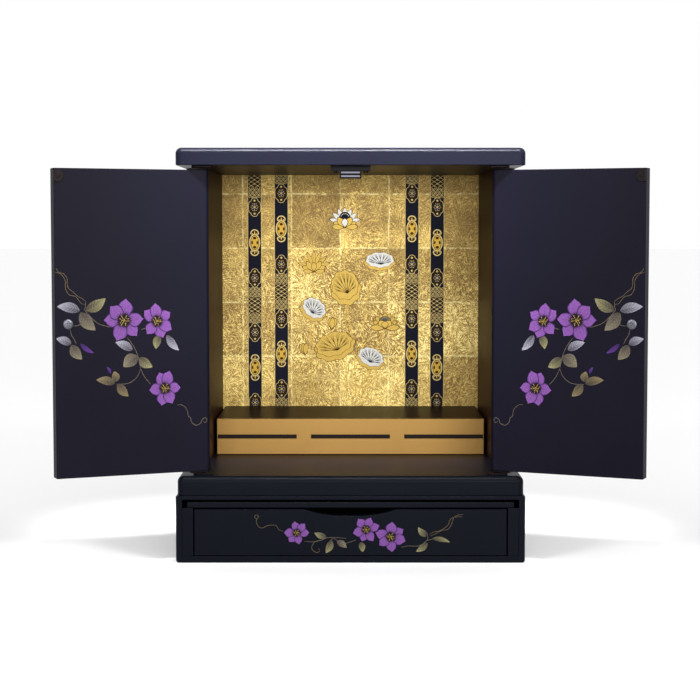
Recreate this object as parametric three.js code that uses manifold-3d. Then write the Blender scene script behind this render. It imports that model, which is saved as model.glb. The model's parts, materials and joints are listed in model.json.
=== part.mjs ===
// A household altar cabinet: a lacquered case with a drawer and a pull-out board, and on it an open
// carcass with two pivoted doors, a gold leaf panel at the back and a loose step with a gold front.
// Millimetres. X runs across the front, Y from front to back, Z up. The origin is the middle of the
// case's underside. The drawer and the pull-out board are shut, and the doors stand open.

import * as THREE from "three";
import { mergeVertices } from "three/addons/utils/BufferGeometryUtils.js";
import Module from "manifold-3d";

const wasm = await Module();
wasm.setup();

// Driving dimensions: the line between glued or seated pieces
const GLUE_LINE = 0.3;

// Driving dimensions: the case
const CASE_WIDTH = 363;
const CASE_DEPTH = 333;
const CASE_HEIGHT = 70;
const CASE_SIDE_THICKNESS = 6.5;
const CASE_TOP_THICKNESS = 4;
const CASE_BOTTOM_THICKNESS = 7;
const CASE_BACK_THICKNESS = 4;
const CASE_FOOT_ROUND = 3;
const CASE_EDGE_ROUND = 0.8;

// Driving dimensions: the guides, which flank the drawer and carry the pull-out board
const GUIDE_WIDTH = 11.2;

// Driving dimensions: the pull-out board
const SHELF_THICKNESS = 6;
const SHELF_HEAD_CLEARANCE = 2.4;
const SHELF_SIDE_CLEARANCE = 5;
const SHELF_BACK_CLEARANCE = 28;
const SHELF_FRONT_SETBACK = 0.6;
const SHELF_EDGE_ROUND = 1;

// Driving dimensions: the drawer
const DRAWER_SIDE_CLEARANCE = 1.2;
const DRAWER_BOTTOM_CLEARANCE = 0.7;
const DRAWER_TOP_CLEARANCE = 1.7;
const DRAWER_BACK_CLEARANCE = 26;
const DRAWER_FRONT_THICKNESS = 12;
const DRAWER_FRONT_CHAMFER = 0.6;
const DRAWER_WALL_THICKNESS = 8;
const DRAWER_WALL_DROP = 9;
const DRAWER_FLOOR_THICKNESS = 4;
const DRAWER_FLOOR_RISE = 2;
const NOTCH_WIDTH = 94;
const NOTCH_DEPTH = 6.8;
const NOTCH_SQUARENESS = 2.6;

// Driving dimensions: the base slab and the top board
const SLAB_INSET = 1.5;
const SLAB_THICKNESS = 20;
const TOP_THICKNESS = 18;
const SLAB_ROUND = 6;
const SLAB_ARRIS = 0.8;

// Driving dimensions: the carcass, whose sides stand in from the base slab's
const CARCASS_HEIGHT = 321.1;
const CARCASS_INSET = 14.5;
const SIDE_THICKNESS = 10;
const BACK_THICKNESS = 4;
const PANEL_THICKNESS = 3;

// Driving dimensions: the doors, which turn on pins at their upper and lower edges
const DOOR_THICKNESS = 14;
const DOOR_FRONT_SETBACK = 8.4;
const DOOR_SIDE_REVEAL = 1;
const DOOR_MEETING_GAP = 1.5;
const PIVOT_FROM_EDGE = 8.5;
const HINGE_EDGE_ROUND = 5;
const DOOR_ARRIS = 0.8;
const SWING_CLEARANCE = 0.6;
const OPEN_ANGLE = { left: 156.6, right: 155.2 };

// Driving dimensions: the pivot hinges, a plate on the door and a plate on the board beyond it
const PLATE_LENGTH = 20;
const PLATE_WIDTH = 11;
const PLATE_THICKNESS = 1.6;
const PLATE_ROUND = 1.5;
const PLATE_PLAY = 0.8;
const PIN_RADIUS = 2;
const PIN_CLEARANCE = 0.3;

// Driving dimensions: the knobs and their screws
const KNOB_FROM_MEETING_EDGE = 13.1;
const KNOB_RADIUS = 7;
const KNOB_NECK_RADIUS = 3.6;
const KNOB_NECK_LENGTH = 4;
const KNOB_LENGTH = 15;
const KNOB_SCREW_RADIUS = 5.2;
const KNOB_SCREW_HEIGHT = 1.6;

// Driving dimensions: the strike plates, discs cut off flat beside the doors' meeting edges
const STRIKE_FROM_MEETING_EDGE = 4;
const STRIKE_RADIUS = 6.3;
const STRIKE_MARGIN = 0.4;
const STRIKE_THICKNESS = 1.2;
const STRIKE_SCREW_RADIUS = 2.6;
const STRIKE_ABOVE_CATCH_FOOT = 0.6;

// Driving dimensions: the magnetic catch
const CATCH_CLEARANCE = 0.3;
const CATCH_EAR_LENGTH = 9.4;
const CATCH_EAR_THICKNESS = 4.8;
const CATCH_BODY_WIDTH = 22.6;
const CATCH_BODY_HEIGHT = 12.6;
const CATCH_DEPTH = 14;
const CATCH_WALL = 1.2;
const CATCH_PLAY = 0.2;
const CATCH_PLATE_THICKNESS = 1.9;
const CATCH_PLATE_PROUD = 0.8;
const CATCH_MAGNET_THICKNESS = 1.5;
const CATCH_MAGNET_SETBACK = 1.5;
const CATCH_SCREW_RADIUS = 2.8;
const CATCH_SCREW_HEIGHT = 1.4;

// Driving dimensions: the step
const STEP_HEIGHT = 40.6;
const STEP_DEPTH = 145;
const STEP_SIDE_CLEARANCE = 3.4;
const STEP_BACK_CLEARANCE = 0.6;
const STEP_FRONT_THICKNESS = 6;
const STEP_BOARD_THICKNESS = 9;
const DASH_COUNT = 3;
const DASH_SPACE = 16.4;
const DASH_END_MARGIN = 1;
const DASH_HEIGHT = 4.6;
const DASH_DEPTH = 1;

// How finely round forms are divided
const QUARTER_STEPS = 4;
const TURNING_SIDES = 24;
const NOTCH_STEPS = 20;

// How far apart two vertices of one solid may be and still be one
const MERGE_TOLERANCE = 1e-4;

// Levels, worked out upwards
const CASE_CEILING = CASE_HEIGHT - CASE_TOP_THICKNESS;
const SHELF_HEAD = CASE_CEILING - SHELF_HEAD_CLEARANCE;
const SHELF_UNDERSIDE = SHELF_HEAD - SHELF_THICKNESS;
const GUIDE_HEAD = SHELF_UNDERSIDE - GLUE_LINE;
const DRAWER_FOOT = CASE_BOTTOM_THICKNESS + DRAWER_BOTTOM_CLEARANCE;
const DRAWER_HEAD = SHELF_UNDERSIDE - DRAWER_TOP_CLEARANCE;
const SLAB_UNDERSIDE = CASE_HEIGHT + GLUE_LINE;
const FLOOR = SLAB_UNDERSIDE + SLAB_THICKNESS;
const CARCASS_FOOT = FLOOR + GLUE_LINE;
const CARCASS_HEAD = CARCASS_FOOT + CARCASS_HEIGHT;
const CEILING = CARCASS_HEAD + GLUE_LINE;
const DOOR_GAP = 2 * (GLUE_LINE + PLATE_THICKNESS) + PLATE_PLAY;
const DOOR_FOOT = FLOOR + DOOR_GAP;
const DOOR_HEAD = CEILING - DOOR_GAP;
const DOOR_MIDDLE = (DOOR_FOOT + DOOR_HEAD) / 2;
const STEP_FOOT = FLOOR + GLUE_LINE;
const STEP_HEAD = STEP_FOOT + STEP_HEIGHT;

// Places across, and from front to back
const CASE_FRONT = -CASE_DEPTH / 2;
const CASE_REAR = CASE_DEPTH / 2;
const CASE_INNER_HALF = CASE_WIDTH / 2 - CASE_SIDE_THICKNESS;
const CASE_INNER_REAR = CASE_REAR - CASE_BACK_THICKNESS;
const GUIDE_OUTER = CASE_INNER_HALF - GLUE_LINE;
const GUIDE_INNER = GUIDE_OUTER - GUIDE_WIDTH;
const DRAWER_HALF = GUIDE_INNER - DRAWER_SIDE_CLEARANCE;
const SLAB_FRONT = CASE_FRONT + SLAB_INSET;
const SLAB_REAR = CASE_REAR - SLAB_INSET;
const SLAB_WIDTH = CASE_WIDTH - 2 * SLAB_INSET;
const CARCASS_HALF = SLAB_WIDTH / 2 - CARCASS_INSET;
const INNER_HALF = CARCASS_HALF - SIDE_THICKNESS;
const PANEL_REAR = SLAB_REAR - BACK_THICKNESS - GLUE_LINE;
const PANEL_FRONT = PANEL_REAR - PANEL_THICKNESS;
const STEP_HALF = INNER_HALF - STEP_SIDE_CLEARANCE;
const STEP_REAR = PANEL_FRONT - STEP_BACK_CLEARANCE;
const STEP_FRONT = STEP_REAR - STEP_DEPTH;

// The pivots, and the carcass's front edge, which the rounded hinge edges just clear as they turn
const DOOR_HALF_THICKNESS = DOOR_THICKNESS / 2;
const HINGE_ROUND = Math.min(HINGE_EDGE_ROUND, DOOR_HALF_THICKNESS - GLUE_LINE);
const PIVOT_X = CARCASS_HALF - DOOR_SIDE_REVEAL - PIVOT_FROM_EDGE;
const PIVOT_Y = SLAB_FRONT + DOOR_FRONT_SETBACK + DOOR_HALF_THICKNESS;
const ROUND_CENTRE_REACH = Math.hypot(
  PIVOT_FROM_EDGE - HINGE_ROUND,
  DOOR_HALF_THICKNESS - HINGE_ROUND,
);
const CARCASS_FRONT = PIVOT_Y + ROUND_CENTRE_REACH + HINGE_ROUND + SWING_CLEARANCE;
const DOOR_REACH = PIVOT_X - DOOR_MEETING_GAP / 2;

// The catch, just behind the strike plates of the shut doors
const STRIKE_BACK = DOOR_HALF_THICKNESS + GLUE_LINE;
const STRIKE_FACE = STRIKE_BACK + STRIKE_THICKNESS;
const CATCH_FACE = PIVOT_Y + STRIKE_FACE + CATCH_CLEARANCE;
const CATCH_FRONT = CATCH_FACE + CATCH_PLATE_PROUD;
const CATCH_TOP = CEILING - GLUE_LINE;
const CATCH_FOOT = CATCH_TOP - CATCH_BODY_HEIGHT;
const STRIKE_HEIGHT = CATCH_FOOT + STRIKE_ABOVE_CATCH_FOOT;

const FINISHES = {
  lacquer: { color: 0x1b1d2a, roughness: 0.38, metalness: 0 },
  innerLacquer: { color: 0x38261a, roughness: 0.22, metalness: 0 },
  goldLeaf: { color: 0xc8a14e, roughness: 0.35, metalness: 0.9 },
  satinGold: { color: 0xc09648, roughness: 0.5, metalness: 0.7 },
  darkMetal: { color: 0x2e2c2f, roughness: 0.4, metalness: 0.9 },
  brightMetal: { color: 0xc9ccd2, roughness: 0.2, metalness: 1 },
  blackPlastic: { color: 0x111216, roughness: 0.45, metalness: 0 },
  stainedWood: { color: 0x4a3526, roughness: 0.6, metalness: 0 },
};

const HANDS = { left: -1, right: 1 };

// A named piece of one geometry and one finish.
function piece(name, finish, geometry) {
  const mesh = new THREE.Mesh(geometry, new THREE.MeshStandardMaterial(FINISHES[finish]));
  mesh.name = name;
  return mesh;
}

// A box geometry that fills the given spans of X, Y and Z.
function block([x0, x1], [y0, y1], [z0, z1]) {
  const geometry = new THREE.BoxGeometry(x1 - x0, y1 - y0, z1 - z0);
  return geometry.translate((x0 + x1) / 2, (y0 + y1) / 2, (z0 + z1) / 2);
}

// A plain board that fills the given spans.
function board(name, finish, spanX, spanY, spanZ) {
  return piece(name, finish, block(spanX, spanY, spanZ));
}

// The span of X between two distances from the middle, on one side of it.
function sideSpan(side, near, far) {
  return side < 0 ? [-far, -near] : [near, far];
}

// A rectangle with its own radius at each corner, anticlockwise from the low left one.
function roundedRectangle([x0, x1], [y0, y1], [lowLeft, lowRight, highRight, highLeft]) {
  const quarter = Math.PI / 2;
  const outline = new THREE.Shape();
  outline.absarc(x0 + lowLeft, y0 + lowLeft, lowLeft, 2 * quarter, 3 * quarter);
  outline.absarc(x1 - lowRight, y0 + lowRight, lowRight, 3 * quarter, 4 * quarter);
  outline.absarc(x1 - highRight, y1 - highRight, highRight, 0, quarter);
  outline.absarc(x0 + highLeft, y1 - highLeft, highLeft, quarter, 2 * quarter);
  return outline;
}

// An outline in X and Y, carried up from Z = 0.
function raised(outline, height) {
  const settings = { depth: height, bevelEnabled: false, curveSegments: QUARTER_STEPS / 2 };
  return new THREE.ExtrudeGeometry(outline, settings);
}

// An outline in X and Z, carried forwards from Y = 0.
function carriedForward(outline, length) {
  return raised(outline, length).rotateX(Math.PI / 2);
}

// An outline in Y and Z, carried across, the same length on both sides of the middle.
function carriedAcross(outline, length) {
  return raised(outline, length)
    .rotateX(Math.PI / 2)
    .rotateZ(Math.PI / 2)
    .translate(-length / 2, 0, 0);
}

// The points round a rectangle of the given half sizes, with corners of one radius.
function ringPoints(halfWidth, halfDepth, radius) {
  const points = [];
  for (let corner = 0; corner < 4; corner += 1) {
    const middle = (corner + 0.5) * (Math.PI / 2);
    const x = Math.sign(Math.cos(middle)) * (halfWidth - radius);
    const y = Math.sign(Math.sin(middle)) * (halfDepth - radius);
    for (let i = 0; i <= QUARTER_STEPS; i += 1) {
      const turn = (corner + i / QUARTER_STEPS) * (Math.PI / 2);
      points.push([x + radius * Math.cos(turn), y + radius * Math.sin(turn)]);
    }
  }
  return points;
}

// A closed body through rings of like points, each given with its height, with flat ends.
function stacked(rings) {
  const count = rings[0].points.length;
  const positions = rings.flatMap(({ z, points }) => points.flatMap(([x, y]) => [x, y, z]));
  const faces = [];
  for (let level = 0; level + 1 < rings.length; level += 1) {
    for (let i = 0; i < count; i += 1) {
      const low = level * count + i;
      const lowNext = level * count + ((i + 1) % count);
      faces.push(low, lowNext, low + count);
      faces.push(lowNext, lowNext + count, low + count);
    }
  }
  const last = (rings.length - 1) * count;
  const foot = rings.length * count;
  const head = foot + 1;
  positions.push(0, 0, rings[0].z, 0, 0, rings[rings.length - 1].z);
  for (let i = 0; i < count; i += 1) {
    const next = (i + 1) % count;
    faces.push(foot, next, i);
    faces.push(head, last + i, last + next);
  }
  const geometry = new THREE.BufferGeometry();
  geometry.setAttribute("position", new THREE.Float32BufferAttribute(positions, 3));
  geometry.setIndex(faces);
  geometry.computeVertexNormals();
  return geometry;
}

// A board with rounded upright corners. Its lower edges have a small arris, and its upper edges
// a large quarter round.
function filletedSlab(width, depth, thickness) {
  const corner = SLAB_ROUND + SLAB_ARRIS;
  const rings = [];
  const addRing = (z, inset) => {
    const points = ringPoints(width / 2 - inset, depth / 2 - inset, corner - inset);
    rings.push({ z, points });
  };
  for (let i = 0; i <= QUARTER_STEPS; i += 1) {
    const turn = (i / QUARTER_STEPS) * (Math.PI / 2);
    addRing(SLAB_ARRIS * (1 - Math.cos(turn)), SLAB_ARRIS * (1 - Math.sin(turn)));
  }
  for (let i = 0; i <= QUARTER_STEPS; i += 1) {
    const turn = (i / QUARTER_STEPS) * (Math.PI / 2);
    addRing(thickness - SLAB_ROUND * (1 - Math.sin(turn)), SLAB_ROUND * (1 - Math.cos(turn)));
  }
  return stacked(rings);
}

// A form turned about Y: pairs of radius and distance towards +Y, from the axis to the axis.
function turned(profile) {
  const points = profile.map(([radius, along]) => new THREE.Vector2(radius, along));
  return new THREE.LatheGeometry(points, TURNING_SIDES);
}

// An upright cylinder between two heights.
function upright(radius, [z0, z1]) {
  const geometry = new THREE.CylinderGeometry(radius, radius, z1 - z0, TURNING_SIDES);
  return geometry.rotateX(Math.PI / 2).translate(0, 0, (z0 + z1) / 2);
}

// A screw's head with an eased rim and a shallow socket, as pairs for turned().
function screwHead(radius, height) {
  const ease = Math.min(radius, height) / 3;
  return [
    [0, 0],
    [radius, 0],
    [radius, height - ease],
    [radius - ease, height],
    [radius / 2, height],
    [radius / 3, height / 2],
    [0, height / 2],
  ];
}

// A closed geometry as a solid that can be cut and joined.
function solidOf(geometry) {
  const bare = geometry.clone();
  bare.deleteAttribute("normal");
  bare.deleteAttribute("uv");
  const merged = mergeVertices(bare, MERGE_TOLERANCE);
  const mesh = new wasm.Mesh({
    numProp: 3,
    vertProperties: merged.attributes.position.array,
    triVerts: new Uint32Array(merged.index.array),
  });
  return new wasm.Manifold(mesh);
}

// A solid's surface as a geometry.
function geometryOf(solid) {
  const mesh = solid.getMesh();
  const geometry = new THREE.BufferGeometry();
  geometry.setAttribute("position", new THREE.BufferAttribute(mesh.vertProperties.slice(), 3));
  geometry.setIndex(new THREE.BufferAttribute(mesh.triVerts.slice(), 1));
  geometry.computeVertexNormals();
  return geometry;
}

// The case: sides as tall as it, with top, bottom and back between them
function makeCase() {
  const parts = [];
  const between = [-GUIDE_OUTER, GUIDE_OUTER];
  const run = [CASE_FRONT, CASE_REAR];
  for (const [hand, side] of Object.entries(HANDS)) {
    const span = sideSpan(side, CASE_INNER_HALF, CASE_WIDTH / 2);
    const radii = Array(4).fill(CASE_EDGE_ROUND);
    radii[side < 0 ? 0 : 1] = CASE_FOOT_ROUND;
    const geometry = carriedForward(roundedRectangle(span, [0, CASE_HEIGHT], radii), CASE_DEPTH);
    geometry.translate(0, CASE_REAR, 0);
    parts.push(piece(`case_side_${hand}`, "lacquer", geometry));
  }
  const backRun = [CASE_INNER_REAR, CASE_REAR];
  const backRise = [CASE_BOTTOM_THICKNESS + GLUE_LINE, CASE_CEILING - GLUE_LINE];
  parts.push(board("case_top", "lacquer", between, run, [CASE_CEILING, CASE_HEIGHT]));
  parts.push(board("case_bottom", "lacquer", between, run, [0, CASE_BOTTOM_THICKNESS]));
  parts.push(board("case_back", "lacquer", between, backRun, backRise));
  return parts;
}

// The guides: posts as deep as the case, whose tops are the pull-out board's bed
function makeGuides() {
  const run = [CASE_FRONT, CASE_INNER_REAR - GLUE_LINE];
  const rise = [CASE_BOTTOM_THICKNESS + GLUE_LINE, GUIDE_HEAD];
  return Object.entries(HANDS).map(([hand, side]) => {
    const span = sideSpan(side, GUIDE_INNER, GUIDE_OUTER);
    return board(`drawer_guide_${hand}`, "lacquer", span, run, rise);
  });
}

// The pull-out board, its long edges eased
function makePullOutBoard() {
  const run = [CASE_FRONT + SHELF_FRONT_SETBACK, CASE_INNER_REAR - SHELF_BACK_CLEARANCE];
  const radii = Array(4).fill(SHELF_EDGE_ROUND);
  const section = roundedRectangle(run, [SHELF_UNDERSIDE, SHELF_HEAD], radii);
  const width = 2 * (CASE_INNER_HALF - SHELF_SIDE_CLEARANCE);
  return piece("pull_out_board", "lacquer", carriedAcross(section, width));
}

// The drawer's front: a chamfered board with a shallow finger notch in its upper edge
function drawerFront() {
  const halfNotch = NOTCH_WIDTH / 2;
  const outline = new THREE.Shape();
  outline.moveTo(-DRAWER_HALF, DRAWER_FOOT);
  outline.lineTo(DRAWER_HALF, DRAWER_FOOT);
  outline.lineTo(DRAWER_HALF, DRAWER_HEAD);
  for (let i = 0; i <= NOTCH_STEPS; i += 1) {
    const share = 1 - (2 * i) / NOTCH_STEPS;
    const drop = NOTCH_DEPTH * (1 - Math.abs(share) ** NOTCH_SQUARENESS);
    outline.lineTo(share * halfNotch, DRAWER_HEAD - drop);
  }
  outline.lineTo(-DRAWER_HALF, DRAWER_HEAD);
  const geometry = new THREE.ExtrudeGeometry(outline, {
    depth: DRAWER_FRONT_THICKNESS - 2 * DRAWER_FRONT_CHAMFER,
    bevelThickness: DRAWER_FRONT_CHAMFER,
    bevelSize: DRAWER_FRONT_CHAMFER,
    bevelOffset: -DRAWER_FRONT_CHAMFER,
    bevelSegments: 1,
  });
  geometry.rotateX(Math.PI / 2);
  geometry.translate(0, CASE_FRONT + DRAWER_FRONT_THICKNESS - DRAWER_FRONT_CHAMFER, 0);
  return piece("drawer_front", "lacquer", geometry);
}

// The drawer: its front, and behind it a box of lower boards that slides on the case's bottom
function makeDrawer() {
  const parts = [drawerFront()];
  const front = CASE_FRONT + DRAWER_FRONT_THICKNESS + GLUE_LINE;
  const rear = CASE_INNER_REAR - DRAWER_BACK_CLEARANCE;
  const wallRise = [CASE_BOTTOM_THICKNESS + GLUE_LINE, DRAWER_HEAD - DRAWER_WALL_DROP];
  const innerHalf = DRAWER_HALF - DRAWER_WALL_THICKNESS;
  for (const [hand, side] of Object.entries(HANDS)) {
    const span = sideSpan(side, innerHalf, DRAWER_HALF);
    parts.push(board(`drawer_side_${hand}`, "stainedWood", span, [front, rear], wallRise));
  }
  const between = [-innerHalf + GLUE_LINE, innerHalf - GLUE_LINE];
  const backRun = [rear - DRAWER_WALL_THICKNESS, rear];
  parts.push(board("drawer_back", "stainedWood", between, backRun, wallRise));
  const floorRun = [front, backRun[0] - GLUE_LINE];
  const floorFoot = wallRise[0] + DRAWER_FLOOR_RISE;
  const floorRise = [floorFoot, floorFoot + DRAWER_FLOOR_THICKNESS];
  parts.push(board("drawer_floor", "stainedWood", between, floorRun, floorRise));
  return parts;
}

// The two rounded boards, under and over the carcass
function makeSlabs() {
  const depth = SLAB_REAR - SLAB_FRONT;
  const base = piece("base_slab", "lacquer", filletedSlab(SLAB_WIDTH, depth, SLAB_THICKNESS));
  base.position.z = SLAB_UNDERSIDE;
  const top = piece("top_board", "lacquer", filletedSlab(SLAB_WIDTH, depth, TOP_THICKNESS));
  top.position.z = CEILING;
  return [base, top];
}

// The carcass: side panels, with the back board and the gold leaf panel between them
function makeCarcass() {
  const rise = [CARCASS_FOOT, CARCASS_HEAD];
  const between = [-INNER_HALF + GLUE_LINE, INNER_HALF - GLUE_LINE];
  const parts = Object.entries(HANDS).map(([hand, side]) => {
    const span = sideSpan(side, INNER_HALF, CARCASS_HALF);
    return board(`side_panel_${hand}`, "lacquer", span, [CARCASS_FRONT, SLAB_REAR], rise);
  });
  const backRun = [PANEL_REAR + GLUE_LINE, SLAB_REAR];
  parts.push(board("back_board", "lacquer", between, backRun, rise));
  parts.push(board("gold_leaf_panel", "goldLeaf", between, [PANEL_FRONT, PANEL_REAR], rise));
  return parts;
}

// The step: a gold front with sunk dashes, a top behind it, and two sides under the top
function makeStep() {
  const across = [-STEP_HALF, STEP_HALF];
  const frontRun = [STEP_FRONT, STEP_FRONT + STEP_FRONT_THICKNESS];
  let front = solidOf(block(across, frontRun, [STEP_FOOT, STEP_HEAD]));
  const spaces = (DASH_COUNT - 1) * DASH_SPACE;
  const dashLength = (2 * STEP_HALF - 2 * DASH_END_MARGIN - spaces) / DASH_COUNT;
  const dashMiddle = (STEP_FOOT + STEP_HEAD) / 2;
  const dashRise = [dashMiddle - DASH_HEIGHT / 2, dashMiddle + DASH_HEIGHT / 2];
  const dashRun = [STEP_FRONT - DASH_DEPTH, STEP_FRONT + DASH_DEPTH];
  for (let i = 0; i < DASH_COUNT; i += 1) {
    const start = -STEP_HALF + DASH_END_MARGIN + i * (dashLength + DASH_SPACE);
    front = front.subtract(solidOf(block([start, start + dashLength], dashRun, dashRise)));
  }
  const parts = [piece("step_front", "satinGold", geometryOf(front))];
  const run = [frontRun[1] + GLUE_LINE, STEP_REAR];
  const topRise = [STEP_HEAD - STEP_BOARD_THICKNESS, STEP_HEAD];
  parts.push(board("step_top", "innerLacquer", across, run, topRise));
  for (const [hand, side] of Object.entries(HANDS)) {
    const span = sideSpan(side, STEP_HALF - STEP_BOARD_THICKNESS, STEP_HALF);
    const rise = [STEP_FOOT, topRise[0] - GLUE_LINE];
    parts.push(board(`step_side_${hand}`, "innerLacquer", span, run, rise));
  }
  return parts;
}

// The catch: an eared housing under the top board, open in front, holding a magnet between two
// pole plates
function makeCatch() {
  const bodyHalf = CATCH_BODY_WIDTH / 2;
  const earHalf = bodyHalf + CATCH_EAR_LENGTH;
  const run = [CATCH_FRONT, CATCH_FRONT + CATCH_DEPTH];
  const earFoot = CATCH_TOP - CATCH_EAR_THICKNESS;
  const ears = solidOf(block([-earHalf, earHalf], run, [earFoot, CATCH_TOP]));
  const body = solidOf(block([-bodyHalf, bodyHalf], run, [CATCH_FOOT, CATCH_TOP]));
  const stackHeight = 2 * CATCH_PLATE_THICKNESS + CATCH_MAGNET_THICKNESS + 4 * CATCH_PLAY;
  const recessHalf = bodyHalf - CATCH_WALL;
  const recessFoot = CATCH_FOOT + CATCH_WALL;
  const recessRear = run[1] - CATCH_WALL;
  const recess = block(
    [-recessHalf, recessHalf],
    [CATCH_FRONT - CATCH_WALL, recessRear],
    [recessFoot, recessFoot + stackHeight],
  );
  const housing = ears.add(body).subtract(solidOf(recess));
  const parts = [piece("catch_housing", "blackPlastic", geometryOf(housing))];
  const across = [-recessHalf + CATCH_PLAY, recessHalf - CATCH_PLAY];
  const rear = recessRear - CATCH_PLAY;
  const plateStep = CATCH_PLATE_THICKNESS + CATCH_MAGNET_THICKNESS + 2 * CATCH_PLAY;
  ["lower", "upper"].forEach((level, index) => {
    const foot = recessFoot + CATCH_PLAY + index * plateStep;
    const rise = [foot, foot + CATCH_PLATE_THICKNESS];
    parts.push(board(`catch_plate_${level}`, "brightMetal", across, [CATCH_FACE, rear], rise));
  });
  const magnetFoot = recessFoot + CATCH_PLATE_THICKNESS + 2 * CATCH_PLAY;
  const magnetRise = [magnetFoot, magnetFoot + CATCH_MAGNET_THICKNESS];
  const magnetRun = [CATCH_FRONT + CATCH_MAGNET_SETBACK, rear];
  parts.push(board("catch_magnet", "darkMetal", across, magnetRun, magnetRise));
  for (const [hand, side] of Object.entries(HANDS)) {
    const head = turned(screwHead(CATCH_SCREW_RADIUS, CATCH_SCREW_HEIGHT));
    const x = side * (bodyHalf + CATCH_EAR_LENGTH / 2);
    head.rotateX(-Math.PI / 2).translate(x, (run[0] + run[1]) / 2, earFoot - GLUE_LINE);
    parts.push(piece(`catch_screw_${hand}`, "darkMetal", head));
  }
  return parts;
}

// A hinge plate's body from its foot up, as it lies when the door is shut, with the pivot at the
// origin. It starts a little inside the door's hinge edge and runs towards the meeting edge.
function hingePlate(side, foot) {
  const start = PLATE_ROUND - PIVOT_FROM_EDGE;
  const span = sideSpan(-side, start, start + PLATE_LENGTH);
  const depth = [-PLATE_WIDTH / 2, PLATE_WIDTH / 2];
  const outline = roundedRectangle(span, depth, Array(4).fill(PLATE_ROUND));
  return solidOf(raised(outline, PLATE_THICKNESS).translate(0, 0, foot));
}

// The plates on the boards above and below a door, each with a hole for the door's pin
function makeFixedHinges(hand, side) {
  const feet = { lower: FLOOR + GLUE_LINE, upper: CEILING - GLUE_LINE - PLATE_THICKNESS };
  return Object.entries(feet).map(([level, foot]) => {
    const through = [foot - PLATE_THICKNESS, foot + 2 * PLATE_THICKNESS];
    const hole = solidOf(upright(PIN_RADIUS + PIN_CLEARANCE, through));
    const geometry = geometryOf(hingePlate(side, foot).subtract(hole));
    geometry.translate(side * PIVOT_X, PIVOT_Y, 0);
    return piece(`hinge_plate_${level}_${hand}`, "darkMetal", geometry);
  });
}

// The plates on a door's own edges, each with the pin that turns in the fixed plate
function makeDoorHinges(hand, side) {
  const lowerFoot = DOOR_FOOT - GLUE_LINE - PLATE_THICKNESS;
  const upperFoot = DOOR_HEAD + GLUE_LINE;
  const levels = {
    lower: { foot: lowerFoot, pin: [FLOOR + 2 * GLUE_LINE, lowerFoot + PLATE_THICKNESS / 2] },
    upper: { foot: upperFoot, pin: [upperFoot + PLATE_THICKNESS / 2, CEILING - 2 * GLUE_LINE] },
  };
  return Object.entries(levels).map(([level, { foot, pin }]) => {
    const solid = hingePlate(side, foot).add(solidOf(upright(PIN_RADIUS, pin)));
    return piece(`door_pivot_${level}_${hand}`, "darkMetal", geometryOf(solid));
  });
}

// A door's board, with large rounds on its hinge edge
function doorBoard(hand, side) {
  const span = sideSpan(-side, -PIVOT_FROM_EDGE, DOOR_REACH);
  const depth = [-DOOR_HALF_THICKNESS, DOOR_HALF_THICKNESS];
  const [leftRound, rightRound] = side < 0 ? [HINGE_ROUND, DOOR_ARRIS] : [DOOR_ARRIS, HINGE_ROUND];
  const outline = roundedRectangle(span, depth, [leftRound, rightRound, rightRound, leftRound]);
  const geometry = raised(outline, DOOR_HEAD - DOOR_FOOT).translate(0, 0, DOOR_FOOT);
  return piece(`door_${hand}`, "lacquer", geometry);
}

// A knob's profile: a straight neck, then a rounded head with a small flat face.
function knobProfile() {
  const profile = [
    [0, 0],
    [KNOB_NECK_RADIUS, 0],
    [KNOB_NECK_RADIUS, KNOB_NECK_LENGTH],
  ];
  const headMiddle = (KNOB_NECK_LENGTH + KNOB_LENGTH) / 2;
  const headHalf = (KNOB_LENGTH - KNOB_NECK_LENGTH) / 2;
  const steps = 2 * QUARTER_STEPS;
  for (let i = 1; i < steps; i += 1) {
    const turn = (i / steps - 0.5) * Math.PI;
    const radius = KNOB_NECK_RADIUS + (KNOB_RADIUS - KNOB_NECK_RADIUS) * Math.cos(turn);
    profile.push([radius, headMiddle + headHalf * Math.sin(turn)]);
  }
  profile.push([KNOB_NECK_RADIUS, KNOB_LENGTH], [0, KNOB_LENGTH]);
  return profile;
}

// A knob on a door's outer face, and the head of its screw on the inner one
function makeKnob(hand, side) {
  const x = -side * (DOOR_REACH - KNOB_FROM_MEETING_EDGE);
  const knob = turned(knobProfile()).rotateX(Math.PI);
  knob.translate(x, -DOOR_HALF_THICKNESS - GLUE_LINE, DOOR_MIDDLE);
  const screw = turned(screwHead(KNOB_SCREW_RADIUS, KNOB_SCREW_HEIGHT));
  screw.translate(x, DOOR_HALF_THICKNESS + GLUE_LINE, DOOR_MIDDLE);
  return [
    piece(`knob_${hand}`, "lacquer", knob),
    piece(`knob_screw_${hand}`, "brightMetal", screw),
  ];
}

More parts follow.
